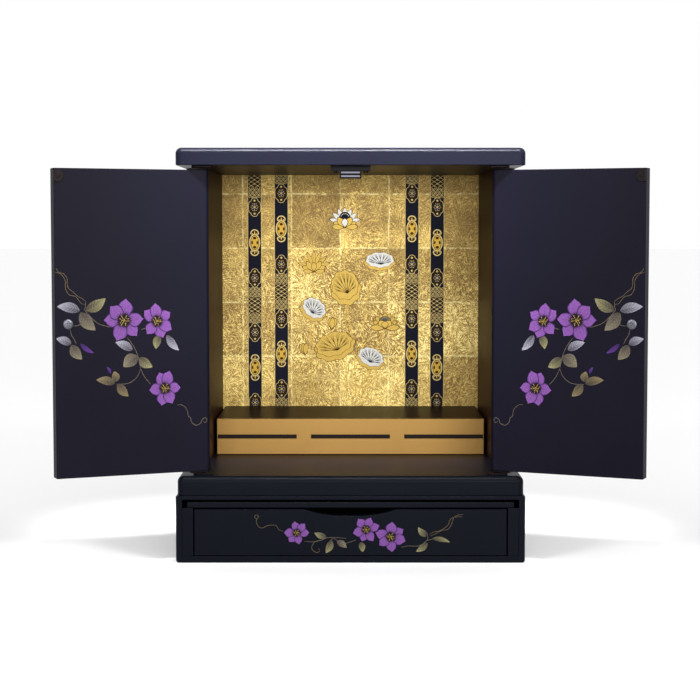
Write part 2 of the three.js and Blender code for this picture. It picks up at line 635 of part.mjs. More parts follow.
// A strike plate: a disc with a straight side by the meeting edge, and a screw's head set in it
function makeStrike(hand, side) {
  const x = -side * (DOOR_REACH - STRIKE_FROM_MEETING_EDGE);
  const straightSide = STRIKE_FROM_MEETING_EDGE - STRIKE_MARGIN;
  const disc = turned([
    [0, 0],
    [STRIKE_RADIUS, 0],
    [STRIKE_RADIUS, STRIKE_THICKNESS],
    [0, STRIKE_THICKNESS],
  ]);
  const beyond = sideSpan(-side, straightSide, 2 * STRIKE_RADIUS);
  const around = [-2 * STRIKE_RADIUS, 2 * STRIKE_RADIUS];
  const through = [-STRIKE_THICKNESS, 2 * STRIKE_THICKNESS];
  const holeRadius = STRIKE_SCREW_RADIUS + GLUE_LINE;
  const hole = turned([
    [0, through[0]],
    [holeRadius, through[0]],
    [holeRadius, through[1]],
    [0, through[1]],
  ]);
  const cut = solidOf(disc).subtract(solidOf(block(beyond, through, around)));
  const plate = geometryOf(cut.subtract(solidOf(hole)));
  plate.translate(x, STRIKE_BACK, STRIKE_HEIGHT);
  const screw = turned(screwHead(STRIKE_SCREW_RADIUS, STRIKE_THICKNESS));
  screw.translate(x, STRIKE_BACK, STRIKE_HEIGHT);
  return [
    piece(`strike_plate_${hand}`, "darkMetal", plate),
    piece(`strike_screw_${hand}`, "darkMetal", screw),
  ];
}

// A door and what it carries, made as it stands when shut and turned open about its pivot
function makeDoor(hand, side) {
  const door = new THREE.Group();
  door.add(doorBoard(hand, side));
  door.add(...makeDoorHinges(hand, side));
  door.add(...makeKnob(hand, side));
  door.add(...makeStrike(hand, side));
  door.position.set(side * PIVOT_X, PIVOT_Y, 0);
  door.rotation.z = side * THREE.MathUtils.degToRad(OPEN_ANGLE[hand]);
  return door;
}

const cabinet = new THREE.Group();
cabinet.add(...makeCase());
cabinet.add(...makeGuides());
cabinet.add(makePullOutBoard());
cabinet.add(...makeDrawer());
cabinet.add(...makeSlabs());
cabinet.add(...makeCarcass());
cabinet.add(...makeStep());
cabinet.add(...makeCatch());
for (const [hand, side] of Object.entries(HANDS)) {
  cabinet.add(...makeFixedHinges(hand, side));
  cabinet.add(makeDoor(hand, side));
}

export default cabinet;
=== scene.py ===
"""Household altar cabinet, dressed over its packed model.

Lengths are millimetres throughout, and become metres where a mesh, a modifier or a light is made.
The frame's axes: +X to the right as one faces the open doors, +Y to the back, +Z up.
"""

import json

import bpy
import numpy as np
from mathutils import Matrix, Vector


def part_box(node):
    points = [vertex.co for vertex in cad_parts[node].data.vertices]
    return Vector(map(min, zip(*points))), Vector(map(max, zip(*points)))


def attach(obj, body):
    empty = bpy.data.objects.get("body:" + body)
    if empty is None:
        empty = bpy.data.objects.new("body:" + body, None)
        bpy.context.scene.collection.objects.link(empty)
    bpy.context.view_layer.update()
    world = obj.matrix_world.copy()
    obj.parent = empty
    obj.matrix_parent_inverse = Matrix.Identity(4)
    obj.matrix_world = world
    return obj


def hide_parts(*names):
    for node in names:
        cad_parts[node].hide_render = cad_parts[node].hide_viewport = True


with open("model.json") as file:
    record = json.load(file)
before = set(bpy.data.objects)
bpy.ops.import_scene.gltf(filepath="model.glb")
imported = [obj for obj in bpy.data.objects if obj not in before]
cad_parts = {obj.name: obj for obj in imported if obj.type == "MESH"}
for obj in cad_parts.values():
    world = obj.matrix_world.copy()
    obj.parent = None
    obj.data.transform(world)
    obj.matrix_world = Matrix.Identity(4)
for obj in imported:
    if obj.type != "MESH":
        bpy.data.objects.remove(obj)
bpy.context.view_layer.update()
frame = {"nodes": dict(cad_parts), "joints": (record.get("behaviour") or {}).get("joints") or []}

bl_info = {
    "name": "Household altar cabinet",
    "version": (1, 0, 0),
    "blender": (4, 5, 0),
    "location": "3D View > Sidebar > Altar cabinet",
    "description": "Builds the lacquered cabinet's boards, fittings, gold leaf and painted sprays",
    "category": "Object",
}

MM = 0.001
GLUE_LINE = 0.3
CORNER_SPARE = 0.15
LACQUERED = ("outer_lacquer", "black_lacquer")
DARK = ("dark_metal", "dark_metal")
BRIGHT = ("bright_metal", "bright_metal")
PANEL = "gold_leaf_panel"
DOOR_HALF = 7.0
DOOR_HEEL = 8.5
DOOR_REACH = 155.25
KNOB_REACH = 142.15
STRIKE_REACH = 151.25
STRIKE_RADIUS = 6.3
STRIKE_FLAT = 3.6
NOTCH_HALF = 47.0
NOTCH_DEPTH = 6.8
DASH_GAP = 16.4
DASH_HALF = 2.3
X, Y, Z = np.eye(3)
HANDS = {"left": -1, "right": 1}


def span_of(node):
    """A CAD node's lowest and highest corners in millimetres."""
    low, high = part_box(node)
    return np.array(low) / MM, np.array(high) / MM


def linear(red, green, blue):
    """A colour given in 0 to 255 as a screen shows it, turned into the linear values of a shader."""
    share = np.array([red, green, blue]) / 255
    return tuple(np.where(share < 0.04045, share / 12.92, ((share + 0.055) / 1.055) ** 2.4))


class Carrier:
    """A place that carries a shape: an origin and three directions at right angles.

    A point (a, b, h) lies a along the first direction, b along the second and h along the third.
    """

    def __init__(self, origin, across, up, out):
        self.origin = np.asarray(origin, float)
        self.axes = np.array([across, up, out], float)
        self.mirrored = np.linalg.det(self.axes) < 0

    def placed(self, points):
        """The origin plus each coordinate times its direction."""
        return self.origin + points @ self.axes


UPRIGHT = Carrier((0, 0, 0), X, Y, Z)
FRONTWARD = Carrier((0, 0, 0), X, Z, -Y)
SIDEWAYS = Carrier((0, 0, 0), Y, Z, X)


def door_directions(hand):
    """A door's pivot, its direction to the free end and its inner face's normal, from its joint.

    Shut, the door points to the middle of the front and its inner face looks back. Both directions
    are turned about the joint's axis by the joint's rest angle, which is its range's lower end.
    """
    joint = next(j for j in frame["joints"] if j["name"] == f"{hand}_door_hinge")
    turn = -np.radians(joint["range_deg"][0]) * joint["axis"][2]
    turned = np.array([[np.cos(turn), -np.sin(turn), 0], [np.sin(turn), np.cos(turn), 0], [0, 0, 1]])
    pivot = np.array([*joint["pos_m"][:2], 0]) / MM
    return pivot, turned @ (-HANDS[hand] * X), turned @ Y


def rounded(low, high, radii, steps=5):
    """An anticlockwise rectangle whose corners are quarter rounds.

    Each corner's arc is its centre plus the radius times the cosine and sine of a quarter turn.
    The radii are those of the low-low, high-low, high-high and low-high corners.
    """
    arcs = []
    for corner, radius in enumerate(radii):
        right, top = corner in (1, 2), corner in (2, 3)
        centre = (
            high[0] - radius if right else low[0] + radius,
            high[1] - radius if top else low[1] + radius,
        )
        turn = np.pi * (1 + corner / 2) + np.linspace(0, np.pi / 2, steps + 1)
        arcs.append(np.column_stack((np.cos(turn), np.sin(turn))) * radius + centre)
    return np.concatenate(arcs)


def drawn_in(outline, inset):
    """An anticlockwise outline moved inwards, each point along the mitre of its two edges."""
    edge = np.roll(outline, -1, axis=0) - outline
    edge /= np.maximum(np.linalg.norm(edge, axis=1, keepdims=True), 1e-9)
    inward = np.column_stack((-edge[:, 1], edge[:, 0]))
    before = np.roll(inward, 1, axis=0)
    mitre = (inward + before) / (1 + np.sum(inward * before, axis=1, keepdims=True))
    return outline + mitre * inset


def lofted(rings):
    """A closed shell through rings of equally many points, each end closed by one face."""
    count = len(rings[0])
    level = np.arange(len(rings) - 1)[:, None] * count
    here = np.arange(count)[None, :]
    there = (here + 1) % count
    quads = np.stack((level + here, level + there, level + count + there, level + count + here), -1)
    foot = np.arange(count)[::-1].tolist()
    head = (np.arange(count) + (len(rings) - 1) * count).tolist()
    return np.concatenate(rings), quads.reshape(-1, 4).tolist() + [foot, head]


def at_height(outline, height):
    """A flat outline set at one height."""
    return np.column_stack((outline, np.full(len(outline), float(height))))


def levels(outline, profile):
    """Rings of an outline: drawn in by each level's inset, at the level's height."""
    return [at_height(drawn_in(outline, inset), height) for inset, height in profile]


def stacked(outline, profile):
    """A solid carried upwards through the levels of a profile."""
    return lofted(levels(outline, profile))


def quarter(radius, steps=4):
    """A quarter round as pairs of inset and fall: one less the sine and the cosine of a turn."""
    turn = np.linspace(0, np.pi / 2, steps + 1)
    return np.column_stack((1 - np.sin(turn), 1 - np.cos(turn))) * radius


def eased(low, high, foot_radius, head_radius, steps=4):
    """A board's edge as (inset, height) levels, with a quarter round at the foot and at the head."""
    foot = [(inset, low + rise) for inset, rise in quarter(foot_radius, steps)]
    return foot + [(inset, high - fall) for inset, fall in quarter(head_radius, steps)[::-1]]


def circle(radius, count):
    """An anticlockwise circle: the radius times the cosine and sine of a full turn."""
    turn = np.linspace(0, 2 * np.pi, count, endpoint=False)
    return np.column_stack((np.cos(turn), np.sin(turn))) * radius


def show(name, shape, carrier, body, finish, slot, nodes=(), fields=None, flats=True):
    """Makes a piece from points and faces on a carrier, lets it ride, and hides the nodes it replaces.

    A mirrored carrier would turn the faces inside out, so their order is reversed there. Fields
    are values kept at each point for the finish. Large flat faces keep their own shading.
    """
    points, faces = shape
    mesh = bpy.data.meshes.new(name)
    order = [face[::-1] for face in faces] if carrier.mirrored else faces
    mesh.from_pydata((carrier.placed(points) * MM).tolist(), [], order)
    if mesh.validate():
        raise RuntimeError(f"{name} has faces that don't close")
    for field, (kind, key, values) in (fields or {}).items():
        made = mesh.attributes.new(field, kind, "POINT")
        made.data.foreach_set(key, np.ascontiguousarray(values, np.float32).ravel())
    mesh.polygons.foreach_set("use_smooth", np.ones(len(mesh.polygons), bool))
    mesh.materials.append(finish_of(finish))
    piece = bpy.data.objects.new(name, mesh)
    bpy.context.scene.collection.objects.link(piece)
    if flats:
        piece.modifiers.new("flats", "WEIGHTED_NORMAL").keep_sharp = True
    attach(piece, body)
    if nodes:
        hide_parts(*nodes)
    return piece


def backed(grid, depth):
    """A grid of points closed to a solid: its rim carried back by a depth, and a face behind."""
    rows, columns = grid.shape[:2]
    index = np.arange(rows * columns).reshape(rows, columns)
    quads = np.stack((index[:-1, :-1], index[1:, :-1], index[1:, 1:], index[:-1, 1:]), -1)
    parts = (index[:, 0], index[-1, 1:], index[-2::-1, -1], index[0, -2:0:-1])
    rim = np.concatenate(parts)
    points = grid.reshape(-1, 3)
    behind = points[rim] * (1, 1, 0) - (0, 0, depth)
    there = rows * columns + np.arange(len(rim))
    sides = np.stack((rim, there, np.roll(there, -1), np.roll(rim, -1)), -1)
    faces = [*quads.reshape(-1, 4).tolist(), *sides.tolist(), there[::-1].tolist()]
    return np.concatenate((points, behind)), faces


def board(node, body, finish, slot, ease, grow=""):
    """A flat board in a CAD node's box, swept through its thickness, all edges eased.

    Grow closes the glue lines of the CAD model: it names the sides that are carried out by one
    glue line, such as -x for the low side across.
    """
    low, high = span_of(node)
    for side, axis in zip(grow[::2], grow[1::2]):
        corner, by = (low, -GLUE_LINE) if side == "-" else (high, GLUE_LINE)
        corner["xyz".index(axis)] += by
    thin = int(np.argmin(high - low))
    carrier, flat = ((SIDEWAYS, [1, 2]), (FRONTWARD, [0, 2]), (UPRIGHT, [0, 1]))[thin]
    outline = rounded(low[flat], high[flat], [ease + CORNER_SPARE] * 4)
    near, far = (-high[1], -low[1]) if thin == 1 else (low[thin], high[thin])
    shape = stacked(outline, eased(near, far, ease, ease))
    return show(f"{node}_finished", shape, carrier, body, finish, slot, [node])


class Wire:
    """A shader socket whose arithmetic adds Math nodes."""

    def __init__(self, finish, socket):
        self.finish = finish
        self.socket = socket

    def joined(self, operation, *values):
        """This value and others through one Math node."""
        inputs = dict(enumerate(values))
        made = self.finish.node("ShaderNodeMath", {"operation": operation}, inputs)
        return Wire(self.finish, made.outputs[0])

    def __add__(self, other):
        return self.joined("ADD", self, other)

    def __radd__(self, other):
        return self.joined("ADD", other, self)

    def __sub__(self, other):
        return self.joined("SUBTRACT", self, other)

    def __rsub__(self, other):
        return self.joined("SUBTRACT", other, self)

    def __mul__(self, other):
        return self.joined("MULTIPLY", self, other)

    def __truediv__(self, other):
        return self.joined("DIVIDE", self, other)

    def __abs__(self):
        return self.joined("ABSOLUTE", self)

    def floored(self):
        """The whole number below."""
        return self.joined("FLOOR", self)

    def angle_of(self, other):
        """The angle whose tangent is this value over the other."""
        return self.joined("ARCTAN2", self, other)

    def between(self, low, high):
        """0 up to low, 1 from high, and a smooth step from one to the other."""
        settings = {"interpolation_type": "SMOOTHSTEP"}
        inputs = {"Value": self, "From Min": low, "From Max": high}
        made = self.finish.node("ShaderNodeMapRange", settings, inputs)
        return Wire(self.finish, made.outputs["Result"])


class Finish:
    """A material in the making, with one shader and the nodes that feed it."""

    def __init__(self, name):
        self.material = bpy.data.materials.new(f"altar_{name}")
        self.material.use_nodes = True
        self.tree = self.material.node_tree
        self.tree.nodes.clear()
        self.shader = self.node("ShaderNodeBsdfPrincipled", {}, {})
        output = self.node("ShaderNodeOutputMaterial", {}, {})
        self.tree.links.new(self.shader.outputs[0], output.inputs["Surface"])
        self.spot = self.wire("ShaderNodeTexCoord", "Object", {}, {})

    def node(self, kind, settings, inputs):
        """A node of a kind: its settings first, then the values or links of its sockets."""
        made = self.tree.nodes.new(kind)
        for setting, value in settings.items():
            setattr(made, setting, value)
        self.feed(made, inputs)
        return made

    def feed(self, made, inputs):
        """Sets or links a node's sockets."""
        for key, value in inputs.items():
            if isinstance(value, Wire):
                self.tree.links.new(value.socket, made.inputs[key])
            else:
                made.inputs[key].default_value = value

    def wire(self, kind, output, settings, inputs):
        """One output of a new node."""
        return Wire(self, self.node(kind, settings, inputs).outputs[output])

    def parts(self, vector):
        """The three coordinates of a vector."""
        split = self.node("ShaderNodeSeparateXYZ", {}, {0: vector})
        return [Wire(self, socket) for socket in split.outputs]

    def vector(self, x, y, z):
        """A vector from three coordinates."""
        return self.wire("ShaderNodeCombineXYZ", 0, {}, {0: x, 1: y, 2: z})

    def scaled(self, vector, factors):
        """A vector multiplied by factors, each along its own axis."""
        return self.wire("ShaderNodeVectorMath", 0, {"operation": "MULTIPLY"}, {0: vector, 1: factors})

    def noise(self, vector, scale, detail=2.0, roughness=0.5, distortion=0.0):
        """Smooth noise from 0 to 1."""
        inputs = {
            "Vector": vector,
            "Scale": scale,
            "Detail": detail,
            "Roughness": roughness,
            "Distortion": distortion,
        }
        return self.wire("ShaderNodeTexNoise", 0, {}, inputs)

    def chance(self, vector):
        """One random number from 0 to 1 for each different vector."""
        return self.wire("ShaderNodeTexWhiteNoise", 0, {}, {"Vector": vector})

    def mixed(self, share, first, second):
        """Two colours mixed."""
        settings = {"data_type": "RGBA"}
        made = self.node("ShaderNodeMix", settings, {0: share, 6: first, 7: second})
        return Wire(self, made.outputs[2])

    def clouded(self, share, colour, low, high):
        """A colour that goes from low times to high times its strength."""
        return self.mixed(share, solid(colour, low), solid(colour, high))

    def field(self, name, output="Fac"):
        """The values that a mesh keeps at its points under a name."""
        return self.wire("ShaderNodeAttribute", output, {"attribute_name": name}, {})

    def ramp(self, share, stops):
        """A colour from a row of (place, colour) stops."""
        made = self.node("ShaderNodeValToRGB", {}, {})
        row = made.color_ramp.elements
        while len(row) < len(stops):
            row.new(0.5)
        for element, (place, colour) in zip(row, stops):
            element.position = place
            element.color = (*colour, 1)
        self.feed(made, {0: share})
        return Wire(self, made.outputs[0])

    def bump(self, height, depth, strength=1.0):
        """A height from 0 to 1, read as a relief of the given depth in millimetres."""
        inputs = {"Height": height, "Distance": depth * MM, "Strength": strength}
        self.feed(self.shader, {"Normal": self.wire("ShaderNodeBump", 0, {}, inputs)})

    def done(self, **sockets):
        """Sets the shader's sockets, named with underscores for spaces, and gives the material."""
        named = {key.replace("_", " "): value for key, value in sockets.items()}
        self.feed(self.shader, named)
        return self.material


def solid(colour, times=1.0):
    """A colour property, made so many times as strong, as the four numbers of a colour socket."""
    return (*(np.array(colour) * times), 1)


def lacquer_finish(looks, name, colour, gloss, shine):
    """Satin lacquer: clouded a little in colour and gloss, with a fine orange peel."""
    finish = Finish(name)
    cloud = finish.noise(finish.spot, 14.0, 3.0)
    dust = finish.noise(finish.spot, 620.0, 2.0)
    peel = finish.noise(finish.spot, 900.0, 1.0)
    tone = finish.clouded(cloud, colour, 0.82, 1.18)
    tone = finish.mixed(dust.between(0.56, 0.8) * 0.25, tone, solid(colour, 2.2))
    finish.bump(peel, looks.peel_depth / MM, 0.6)
    roughness = gloss + cloud * 0.05 - 0.025 + dust * 0.04
    return finish.done(Base_Color=tone, Roughness=roughness, Specular_IOR_Level=shine)


def outer_lacquer(looks):
    """The black lacquer of the case, the base slab and the back."""
    gloss, shine = looks.lacquer_roughness, looks.lacquer_shine
    return lacquer_finish(looks, "outer_lacquer", looks.lacquer, gloss, shine)


def top_lacquer_painted_light(looks):
    """The top board's lacquer, a little greyer and bluer than the case's: painted light that stands in for
    the light falling on its front.
    """
    gloss, shine = looks.lacquer_roughness, looks.door_shine
    return lacquer_finish(looks, "top_lacquer_painted_light", looks.top_lacquer_painted_light, gloss, shine)


def door_lacquer(looks):
    """The doors' lacquer, a little more matte and bluer than the case's."""
    gloss, shine = looks.door_roughness, looks.door_shine
    return lacquer_finish(looks, "door_lacquer", looks.door_lacquer, gloss, shine)


def inner_lacquer_painted_reflection(looks):
    """The carcass's lacquer, brown inside as a painted reflection of the gold panel, and black from the
    middle of the side panels outwards.
    """
    finish = Finish("inner_lacquer_painted_reflection")
    low, high = span_of("side_panel_right")
    x = finish.parts(finish.spot)[0]
    outside = (abs(x) / MM).between(low[0] + 1, (low[0] + high[0]) / 2)
    cloud = finish.noise(finish.spot, 14.0, 3.0)
    # painted reflection: the inner faces' brown stands in for the gold panel's warm reflection in the black
    # lacquer
    inner = finish.clouded(cloud, looks.inner_lacquer_painted_reflection, 0.82, 1.18)
    tone = finish.mixed(outside, inner, solid(looks.lacquer))
    finish.bump(finish.noise(finish.spot, 900.0, 1.0), looks.peel_depth / MM, 0.6)
    rough = looks.inner_roughness + cloud * 0.05
    return finish.done(Base_Color=tone, Roughness=rough, Specular_IOR_Level=looks.inner_shine)


def stained_wood(looks):
    """Plain dark stained boards: long grain along the drawer's depth, with pores."""
    finish = Finish("stained_wood")
    drawn = finish.scaled(finish.spot, (90.0, 6.0, 90.0))
    grain = finish.noise(drawn, 1.6, 5.0, 0.62, 1.2)
    pores = finish.noise(finish.scaled(finish.spot, (900.0, 40.0, 900.0)), 1.0, 2.0)
    share = grain.between(0.3, 0.72)
    dark = solid(looks.stained_wood, 0.45)
    tone = finish.mixed(share, dark, solid(looks.stained_wood))
    tone = finish.mixed(pores.between(0.6, 0.75) * 0.5, tone, dark)
    finish.bump(grain * 0.6 - pores.between(0.6, 0.75) * 0.4, 0.12)
    return finish.done(Base_Color=tone, Roughness=0.62 - share * 0.1)


def gold_leaf(looks):
    """Squares of leaf laid edge over edge, each with feathers of wear that spread from centres.

    A feather field is the noise of the angle about the nearest centre, stretched along the
    distance from it. Two fields of different size are laid over a fine crackle. Each square has a
    tone of its own, and its seams show as thin lines.
    """
    finish = Finish("gold_leaf")
    wander = finish.noise(finish.spot, 60.0, 3.0)
    x, _, z = finish.parts(finish.spot)
    column = (x / MM + wander * 2.4 - (looks.leaf_seam_x / MM + 1.2)) / (looks.leaf_width / MM)
    row = (z / MM + wander * 2.0 - (looks.leaf_seam_z / MM + 1.0)) / (looks.leaf_height / MM)
    square = finish.chance(finish.vector(column.floored(), row.floored(), 3.0))
    seam_x = abs(column - column.floored() - 0.5)
    seam_z = abs(row - row.floored() - 0.5)
    seam = seam_x.joined("MAXIMUM", seam_x, seam_z).between(0.474, 0.5)

    def feathers(size, spokes, stretch, seed):
        """Streaks that radiate from scattered centres about a size apart."""
        flat = finish.vector(x, z, square * 3.0 + seed)
        cells = finish.node("ShaderNodeTexVoronoi", {}, {"Vector": flat, "Scale": 1 / (size * MM)})
        centre = Wire(finish, cells.outputs["Position"])
        centre_x, centre_z, _ = finish.parts(centre)
        angle = (z - centre_z).angle_of(x - centre_x)
        far = Wire(finish, cells.outputs["Distance"])
        spread = finish.vector(angle * spokes, far * stretch, seed + square)
        return finish.noise(spread, 1.0, 3.0, 0.6, 0.6).between(0.4, 0.62)

    broad = feathers(34.0, 17.0, 7.0, 1.7)
    small = feathers(15.0, 10.0, 5.0, 5.1)
    crackle = finish.noise(finish.spot, 1000.0, 3.0, 0.75, 0.3).between(0.36, 0.66)
    patch = finish.noise(finish.spot, 26.0, 3.0, 0.6)
    lit = finish.noise(finish.spot, 7.0, 1.0, 0.5)
    level = (z / MM - 130.0) / 280.0
    lively = 1.0 - level.between(0.5, 0.75) * 0.45 - (1.0 - level.between(0.02, 0.3)) * 0.35
    grain = (broad * 0.4 + small * 0.3 + crackle * 0.32 - 0.51) * lively
    worn = grain + patch * 0.4 + lit * 0.3 + 0.01
    # painted shade: the leaf is made browner towards the panel's head, where the top board shades it
    worn = worn + (square - 0.5) * 0.18 - level.between(0.35, 1.0) * looks.leaf_top_painted_shade
    worn = worn.between(-0.05, 0.95)
    stops = (
        (0.0, looks.leaf_ground),
        (0.3, tuple(np.array(looks.leaf_ground) * 0.55 + np.array(looks.leaf_gold) * 0.35)),
        (0.62, looks.leaf_gold),
        (1.0, looks.leaf_bright),
    )
    broken = finish.noise(finish.spot, 150.0, 2.0).between(0.4, 0.6)
    seam = seam * (0.2 + broken * 0.8) * 0.45
    tone = finish.mixed(seam, finish.ramp(worn, stops), solid(looks.leaf_bright))
    finish.bump(worn * 0.7 + crackle * 0.3, 0.1, 0.7)
    metal = 0.6 + worn * 0.32
    return finish.done(Base_Color=tone, Metallic=metal, Roughness=0.5 - worn * 0.14)


def satin_gold(looks):
    """Satin gold with a fine speckle, and black lacquer where the field `sunk` is 1."""
    finish = Finish("satin_gold")
    speckle = finish.noise(finish.spot, 1400.0, 2.0, 0.6)
    cloud = finish.noise(finish.spot, 30.0, 2.0)
    tone = finish.clouded(speckle.between(0.3, 0.7), looks.satin_gold, 0.72, 1.22)
    tone = finish.mixed(cloud * 0.3, tone, solid(looks.satin_gold, 0.85))
    inlay = finish.field("sunk").between(0.35, 0.65)
    tone = finish.mixed(inlay, tone, solid(looks.dash))
    finish.bump(speckle, 0.05, 0.7)
    metal = 0.75 - inlay * 0.75
    rough = 0.42 + speckle * 0.1
    return finish.done(Base_Color=tone, Metallic=metal, Roughness=rough, Specular_IOR_Level=0.1)


def plain_metal(name, colour, roughness, scratch):
    """Metal with a faint mottle and fine scratches along one direction."""
    finish = Finish(name)
    mottle = finish.noise(finish.spot, 500.0, 3.0)
    lines = finish.noise(finish.scaled(finish.spot, (300.0, 300.0, 5200.0)), 1.0, 2.0)
    tone = finish.clouded(mottle, colour, 0.8, 1.0)
    finish.bump(lines, 0.02, scratch)
    rough = roughness + mottle * 0.1 + lines * 0.06
    return finish.done(Base_Color=tone, Metallic=1.0, Roughness=rough)


def dark_metal(looks):
    """Dark bronze of the hinge plates, pins and strikes."""
    return plain_metal("dark_metal", looks.dark_metal, 0.4, 0.4)


def bright_metal(looks):
    """Bright plating of the knob screws and pole plates."""
    return plain_metal("bright_metal", looks.bright_metal, 0.34, 0.3)


def black_plastic(looks):
    """Moulded black plastic with a fine matte grain."""
    finish = Finish("black_plastic")
    grain = finish.noise(finish.spot, 2600.0, 2.0)
    tone = finish.clouded(grain, looks.plastic, 0.8, 1.3)
    finish.bump(grain, 0.03, 0.5)
    rough = 0.4 + grain * 0.12
    return finish.done(Base_Color=tone, Roughness=rough, Specular_IOR_Level=0.1)


def ornament_paint(looks):
    """Paint and gold powder: colour from the field `tint`, metal from the field `gilt`."""
    finish = Finish("ornament_paint")
    tint = finish.field("tint", "Color")
    gilt = finish.field("gilt")
    powder = finish.noise(finish.spot, 1300.0, 2.0, 0.6)
    shade = powder.between(0.3, 0.7)
    darker = finish.mixed(0.42, tint, (0.0, 0.0, 0.0, 1))
    tone = finish.mixed(shade, darker, tint)
    finish.bump(powder, 0.03, 0.6)
    rough = 0.48 - gilt * 0.08 + shade * 0.08
    metal = gilt * 0.85
    return finish.done(Base_Color=tone, Metallic=metal, Roughness=rough, Specular_IOR_Level=0.08)


def floor_paint(looks):
    """A plain pale floor with the faintest unevenness."""
    finish = Finish("floor_paint")
    cloud = finish.noise(finish.spot, 1.5, 2.0)
    tone = finish.clouded(cloud, looks.floor, 0.985, 1.0)
    return finish.done(Base_Color=tone, Roughness=0.75 + cloud * 0.05, Specular_IOR_Level=0.2)


FINISH_MAKERS = (
    outer_lacquer, top_lacquer_painted_light, door_lacquer, inner_lacquer_painted_reflection, stained_wood, gold_leaf, satin_gold,
    dark_metal, bright_metal, black_plastic, ornament_paint, floor_paint,
)
FINISHES = {maker.__name__: maker for maker in FINISH_MAKERS}


def finish_of(name):
    """The named finish, made when it is first asked for."""
    found = bpy.data.materials.get(f"altar_{name}")
    return found or FINISHES[name](bpy.context.scene.altar_finishes)


DISC_RINGS = np.array([0.0, 0.6, 1.0])[:, None]


class Drawing:
    """Painted shapes in one plane, gathered into one paint-thin mesh with its colours."""

    def __init__(self, floor=-np.inf, ceiling=np.inf):
        self.points, self.quads, self.tints, self.gilts = [], [], [], []
        self.count = 0
        self.floor = floor
        self.ceiling = ceiling

    def patch(self, a, b, height, tint, gilt):
        """A grid of points, cut off at the floor and ceiling, its faces turned to look outwards."""
        a, b = np.broadcast_arrays(np.asarray(a, float), np.asarray(b, float))
        b = np.clip(b, self.floor, self.ceiling)
        rows, columns = a.shape
        index = np.arange(rows * columns).reshape(rows, columns)
        quads = np.stack((index[:-1, :-1], index[1:, :-1], index[1:, 1:], index[:-1, 1:]), -1)
        quads = quads.reshape(-1, 4)
        flat = np.stack((a.ravel(), b.ravel()), -1)
        first, second = flat[quads[:, 2]] - flat[quads[:, 0]], flat[quads[:, 3]] - flat[quads[:, 1]]
        area = first[:, 0] * second[:, 1] - first[:, 1] * second[:, 0]
        if area.sum() < 0:
            quads = quads[:, ::-1]
            area = -area
        quads = quads[area > 1e-5]
        _, first, joined = np.unique(flat.round(4), axis=0, return_index=True, return_inverse=True)
        quads = joined.ravel()[quads]
        height = np.broadcast_to(height, a.shape).ravel()
        self.points.append(np.column_stack((flat, height))[first])
        self.quads.append(quads + self.count)
        self.tints.append(np.broadcast_to(tint, (rows, columns, 3)).reshape(-1, 3)[first])
        self.gilts.append(np.broadcast_to(gilt, (rows, columns)).ravel()[first])
        self.count += len(first)

    def stroke(self, path, width, height, tint, gilt, fine=False):
        """A ribbon: each point of a path moved to both sides along the path's normal."""
        path = np.asarray(path, float)
        along = np.gradient(path, axis=0)
        along /= np.maximum(np.linalg.norm(along, axis=1, keepdims=True), 1e-9)
        normal = np.column_stack((-along[:, 1], along[:, 0]))
        width = np.broadcast_to(width, len(path))[:, None]
        sides = np.array([-1.0, 1.0]) if not fine else np.array([-1.0, -0.35, 0.35, 1.0])
        a = path[:, :1] + normal[:, :1] * sides * width / 2
        b = path[:, 1:] + normal[:, 1:] * sides * width / 2
        self.patch(a, b, height, tint, gilt)

    def blot(self, centre, radii, height, tint, gilt, count, turn=0.0):
        """A filled ellipse: rings from the middle to the radii times the cosine and the sine."""
        angle = np.linspace(0, 2 * np.pi, count + 1)
        a, b = DISC_RINGS * np.cos(angle) * radii[0], DISC_RINGS * np.sin(angle) * radii[1]
        a, b = a * np.cos(turn) - b * np.sin(turn), a * np.sin(turn) + b * np.cos(turn)
        self.patch(centre[0] + a, centre[1] + b, height, tint, gilt)

    def show(self, name, carrier, body, slot):
        """The piece: every sheet as a solid that stands on the face it is painted on.

        A quad with two joined corners is turned so that they come last, and loses one of them.
        Solidify fills each sheet by its own height down to the face.
        """
        relief = bpy.context.scene.altar_edges.paint_relief
        points = np.concatenate(self.points) * (1, 1, relief)
        quads = np.concatenate(self.quads)
        used, quads = np.unique(quads, return_inverse=True)
        quads = quads.reshape(-1, 4)
        same = quads == np.roll(quads, -1, axis=1)
        turn = (np.argmax(same, axis=1)[:, None] + np.arange(1, 5)) % 4
        pinched = same.any(axis=1)
        faces = quads[~pinched].tolist()
        faces += np.take_along_axis(quads, turn, axis=1)[pinched, :3].tolist()
        tints = np.concatenate(self.tints)[used]
        fields = {
            "tint": ("FLOAT_COLOR", "color", np.column_stack((tints, np.ones(len(used))))),
            "gilt": ("FLOAT", "value", np.concatenate(self.gilts)[used]),
        }
        points = points[used]
        looks = ("ornament_paint", slot)
        piece = show(name, (points, faces), carrier, body, *looks, fields=fields, flats=False)
        piece.data.polygons.foreach_set("use_smooth", np.zeros(len(piece.data.polygons), bool))
        depth = piece.vertex_groups.new(name="depth")
        most = points[:, 2].max()
        for height in np.unique(points[:, 2]):
            level = np.flatnonzero(points[:, 2] == height)
            depth.add(level.tolist(), height / most, "REPLACE")
        thick = piece.modifiers.new("paint", "SOLIDIFY")
        thick.vertex_group = depth.name
        thick.thickness = most * MM
        thick.offset = -1
        return piece


